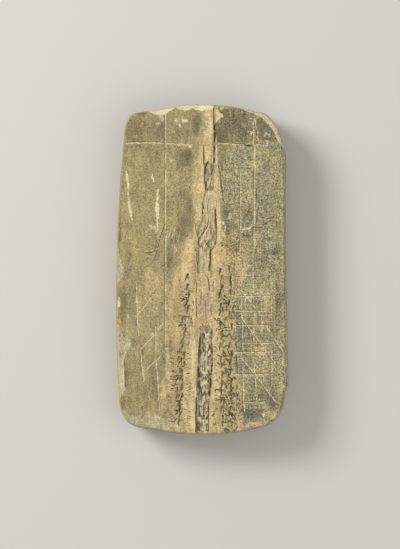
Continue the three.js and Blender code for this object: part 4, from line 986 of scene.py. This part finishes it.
def makeStone():
    material = bpy.data.materials.new("fineGrainedStone")
    material.use_nodes = True
    tree = material.node_tree
    tree.nodes.clear()
    colour = {name: hexColour(text) for name, text in stoneColours.items()}

    def maths(operation, a, b=0.0, c=0.0, clamp=False):
        node = addNode(tree, "ShaderNodeMath", {0: a, 1: b, 2: c}, operation=operation, use_clamp=clamp)
        return node.outputs[0]

    def attribute(name):
        return addNode(tree, "ShaderNodeAttribute", attribute_name=name).outputs["Fac"]

    def step(value, low, high, toLow=0.0, toHigh=1.0):
        return addNode(tree, "ShaderNodeMapRange", {"Value": value, "From Min": low, "From Max": high,
                                                    "To Min": toLow, "To Max": toHigh}).outputs[0]

    def mix(share, first, second, blend="MIX"):
        node = addNode(tree, "ShaderNodeMix", {0: share, 6: first, 7: second},
                       data_type="RGBA", blend_type=blend)
        return node.outputs[2]

    place = addNode(tree, "ShaderNodeTexCoord").outputs["Object"]
    drawn = addNode(tree, "ShaderNodeMapping", {"Vector": place, "Scale": (1, 0.15, 1)}).outputs[0]

    def noise(size, detail, rough=0.55, where=place):  # about -1 to 1
        made = addNode(tree, "ShaderNodeTexNoise",
                       {"Vector": where, "Scale": 1 / (size * mm), "Detail": detail, "Roughness": rough})
        return step(made.outputs[0], 0.25, 0.75, -1.0, 1.0)

    across = addNode(tree, "ShaderNodeSeparateXYZ", {0: place}).outputs[0]
    grain = noise(stoneSizes["grain"], 3.0, 0.6)
    speckle = noise(stoneSizes["speckle"], 3.0, 0.65)
    mottle = noise(stoneSizes["mottle"], 4.0)
    cloud = noise(stoneSizes["cloud"], 3.0)
    fibre = noise(stoneSizes["fibre"], 2.0, where=drawn)
    streak = noise(stoneSizes["streak"], 3.0, where=drawn)
    ragged = maths("MULTIPLY_ADD", mottle, 0.3, maths("MULTIPLY", speckle, 0.35))

    cool = step(maths("MULTIPLY_ADD", mottle, 0.0035, across), coolFrom * mm, coolTo * mm)
    base = mix(cool, colour["warmSkin"], colour["coolSkin"])
    base = mix(step(cloud, 0.0, 0.8, 0, 0.3), base, colour["buff"])
    base = mix(step(cloud, -0.8, 0.0, 0.3, 0), base, colour["smudgeAndShade"])
    tinge = noise(stoneSizes["tinge"], 2.0)
    base = mix(step(tinge, 0.1, 0.8, 0, 0.38), base, colour["rosy"])
    base = mix(step(tinge, -0.8, -0.1, 0.38, 0), base, colour["blue"])
    for name, most, raggedness in stoneTones:
        edge = maths("MULTIPLY_ADD", ragged, raggedness, attribute(name))
        base = mix(step(edge, 0.2, 0.8, 0, most), base, colour[name])
    base = mix(maths("MULTIPLY", attribute("rough"), 0.7), base, colour["floor"])
    base = mix(maths("MULTIPLY", attribute("pale"), 0.9, clamp=True), base, colour["fresh"])
    # painted highlight round the lips of the strokes
    base = mix(maths("MULTIPLY", attribute("lip"), step(speckle, -0.5, 0.4, 0.1, 0.75)),
               base, colour["fresh"])

    # light and dark of the grain, with a net of fine pale crazing, both quieter on sides and back
    bare = attribute("worn")
    quiet = maths("MULTIPLY_ADD", attribute("skin"), 0.65, 0.35)
    fineness = maths("MULTIPLY_ADD", cool, 0.22, maths("MULTIPLY_ADD", bare, -0.12, 0.62))
    fineness = maths("MULTIPLY", fineness, maths("MULTIPLY_ADD", quiet, 0.6, 0.4))
    tone = maths("MULTIPLY_ADD", grain, fineness, maths("MULTIPLY_ADD", speckle, 0.16, 1.0))
    tone = maths("MULTIPLY_ADD", mottle, 0.07, tone)
    tone = maths("MULTIPLY_ADD", streak, maths("MULTIPLY_ADD", bare, 0.10, 0.20), tone)
    tone = maths("MULTIPLY_ADD", maths("MULTIPLY", cool, bare), -0.10, tone)
    tone = maths("MULTIPLY_ADD", fibre, 0.12, tone)
    craze = step(maths("ABSOLUTE", noise(1.1, 2.0)), 0.0, 0.25, 1.0, 0.0)
    tone = maths("MULTIPLY_ADD", craze, 0.20, tone)
    crossing = addNode(tree, "ShaderNodeMapping", {"Vector": place, "Scale": (0.12, 1, 1)}).outputs[0]
    hatch = maths("MAXIMUM", step(noise(hatchSize, 1.0, where=drawn), 0.30, 0.65),
                  step(noise(hatchSize, 1.0, where=crossing), 0.30, 0.65))
    craze = maths("MAXIMUM", craze, maths("MULTIPLY", hatch, 0.8))
    netted = maths("MULTIPLY", maths("MULTIPLY_ADD", cool, 0.50, 0.06),
                   maths("SUBTRACT", 1.0, maths("MULTIPLY", attribute("smudgeAndShade"), 0.75)))
    base = mix(maths("MULTIPLY", maths("MULTIPLY", craze, netted), quiet), base, colour["net"])
    pits = step(noise(0.75, 2.0, where=drawn), 0.40, 0.80, 0.0, 0.34)
    pits = maths("MULTIPLY", pits, quiet)
    tone = maths("SUBTRACT", tone, maths("MULTIPLY", pits, maths("ADD", 0.3, maths("MULTIPLY", cool, 0.7))))
    worms = step(maths("ABSOLUTE", noise(1.5, 3.0)), 0.0, 0.20, 0.66, 0.0)
    tone = maths("SUBTRACT", tone, maths("MULTIPLY", worms, attribute("worms")))
    calm = maths("MULTIPLY", attribute("fresh"), 0.6)
    tone = maths("MULTIPLY_ADD", maths("SUBTRACT", 1.05, tone), calm, tone)
    grey = addNode(tree, "ShaderNodeCombineColor", {0: tone, 1: tone, 2: tone}).outputs[0]
    base = mix(1.0, base, grey, "MULTIPLY")

    # earth and painted shade darken strokes, pits, cracks, steep walls and the shaded sides of rulings
    earthAndShadeShare = maths("MAXIMUM", step(attribute("cut"), 0.12, 0.55), maths("MULTIPLY", attribute("dark"), 1.3))
    earthAndShadeShare = maths("MAXIMUM", earthAndShadeShare, maths("MULTIPLY", attribute("pit"), 0.95))
    earthAndShadeShare = maths("MULTIPLY", earthAndShadeShare, step(mottle, -0.6, 0.6, 0.55, 1.15), clamp=True)
    base = mix(maths("MULTIPLY", earthAndShadeShare, 0.85), base, colour["earthAndShade"])

    fine = addNode(tree, "ShaderNodeBump", {"Height": grain, "Distance": 0.00005, "Strength": 0.8})
    bump = addNode(tree, "ShaderNodeBump", {"Height": speckle, "Distance": 0.0001, "Strength": 0.6,
                                            "Normal": fine.outputs[0]})
    shader = addNode(tree, "ShaderNodeBsdfPrincipled",
                     {"Base Color": base, "Roughness": step(speckle, -1, 1, 0.76, 0.94), "IOR": 1.5,
                      "Normal": bump.outputs[0]})
    addNode(tree, "ShaderNodeOutputMaterial", {0: shader.outputs[0]})
    return material


fineGrainedStone = makeStone()


def finishTablet():  # carve, thin to the face limit, and take the result as a plain mesh
    marks = makeMarks()
    tree = makeReliefTree(marks, fineGrainedStone)
    carve = tabletStone.modifiers.new("relief", "NODES")
    carve.node_group = tree
    inputs = [item for item in tree.interface.items_tree if item.in_out == "INPUT"]
    identifiers = {item.name: item.identifier for item in inputs}
    carve[identifiers["Marks"]] = marks
    for name, value in relief.items():
        carve[identifiers[name]] = value
    thin = tabletStone.modifiers.new("thin", "DECIMATE")
    thin.ratio = faceLimit / (2 * len(tabletStone.data.polygons))
    evaluated = tabletStone.evaluated_get(bpy.context.evaluated_depsgraph_get())
    mesh = bpy.data.meshes.new_from_object(evaluated)
    tabletStone.modifiers.clear()
    old = tabletStone.data
    tabletStone.data = mesh
    bpy.data.meshes.remove(old)
    bpy.data.objects.remove(marks)
    points = np.zeros(len(mesh.vertices) * 3, np.float32)
    mesh.vertices.foreach_get("co", points)
    points = points.reshape(-1, 3)
    low, high = np.array(lowest), np.array(highest)
    middle, spare = (low + high) / 2, 0.01 * mm
    for k in (0, 1):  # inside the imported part's box
        reach = max(points[:, k].max() - middle[k], middle[k] - points[:, k].min())
        fit = min(1, (high[k] - middle[k] - spare) / reach)
        points[:, k] = middle[k] + (points[:, k] - middle[k]) * fit
    points[:, 2] -= points[:, 2].min()
    points[:, 2] = np.minimum(points[:, 2], high[2] - spare)
    mesh.vertices.foreach_set("co", points.ravel())
    mesh.polygons.foreach_set("use_smooth", np.ones(len(mesh.polygons), bool))
    mesh.update()
    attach(tabletStone, "root")
    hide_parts("tablet")
    print("tablet carved:", len(mesh.polygons), "triangles")


finishTablet()


studio = {
    "floor": "#d9d6d0", "floorSize": 3.0,                # metres
    "keyPlace": (-0.75, 0.45, 0.75), "keySize": 0.45, "keyPower": 8.6,
    "fillPlace": (0.5, -0.3, 1.2), "fillSize": 1.4, "fillPower": 5.4,
    "sky": "#f4f3f1", "skyStrength": 0.38,
}


def makeStudio():
    half = studio["floorSize"] / 2
    floor = meshObject("floor", [(-half, -half, 0), (half, -half, 0), (half, half, 0), (-half, half, 0)],
                       faces=[(0, 1, 2, 3)])
    paper = bpy.data.materials.new("paleFloor")
    paper.use_nodes = True
    shader = paper.node_tree.nodes["Principled BSDF"]
    shader.inputs["Base Color"].default_value = hexColour(studio["floor"])
    shader.inputs["Roughness"].default_value = 0.9
    floor.data.materials.append(paper)
    for name in ("key", "fill"):
        light = bpy.data.lights.new(name, "AREA")
        light.size, light.energy = studio[name + "Size"], studio[name + "Power"]
        lamp = bpy.data.objects.new(name, light)
        bpy.context.scene.collection.objects.link(lamp)
        lamp.location = studio[name + "Place"]
        lamp.rotation_euler = (-lamp.location).to_track_quat("-Z", "Y").to_euler()
    world = bpy.data.worlds.new("studio")
    world.use_nodes = True
    background = world.node_tree.nodes["Background"]
    background.inputs["Color"].default_value = hexColour(studio["sky"])
    background.inputs["Strength"].default_value = studio["skyStrength"]
    bpy.context.scene.world = world
    bpy.context.scene.view_settings.view_transform = "Standard"


makeStudio()
print("studio lit")
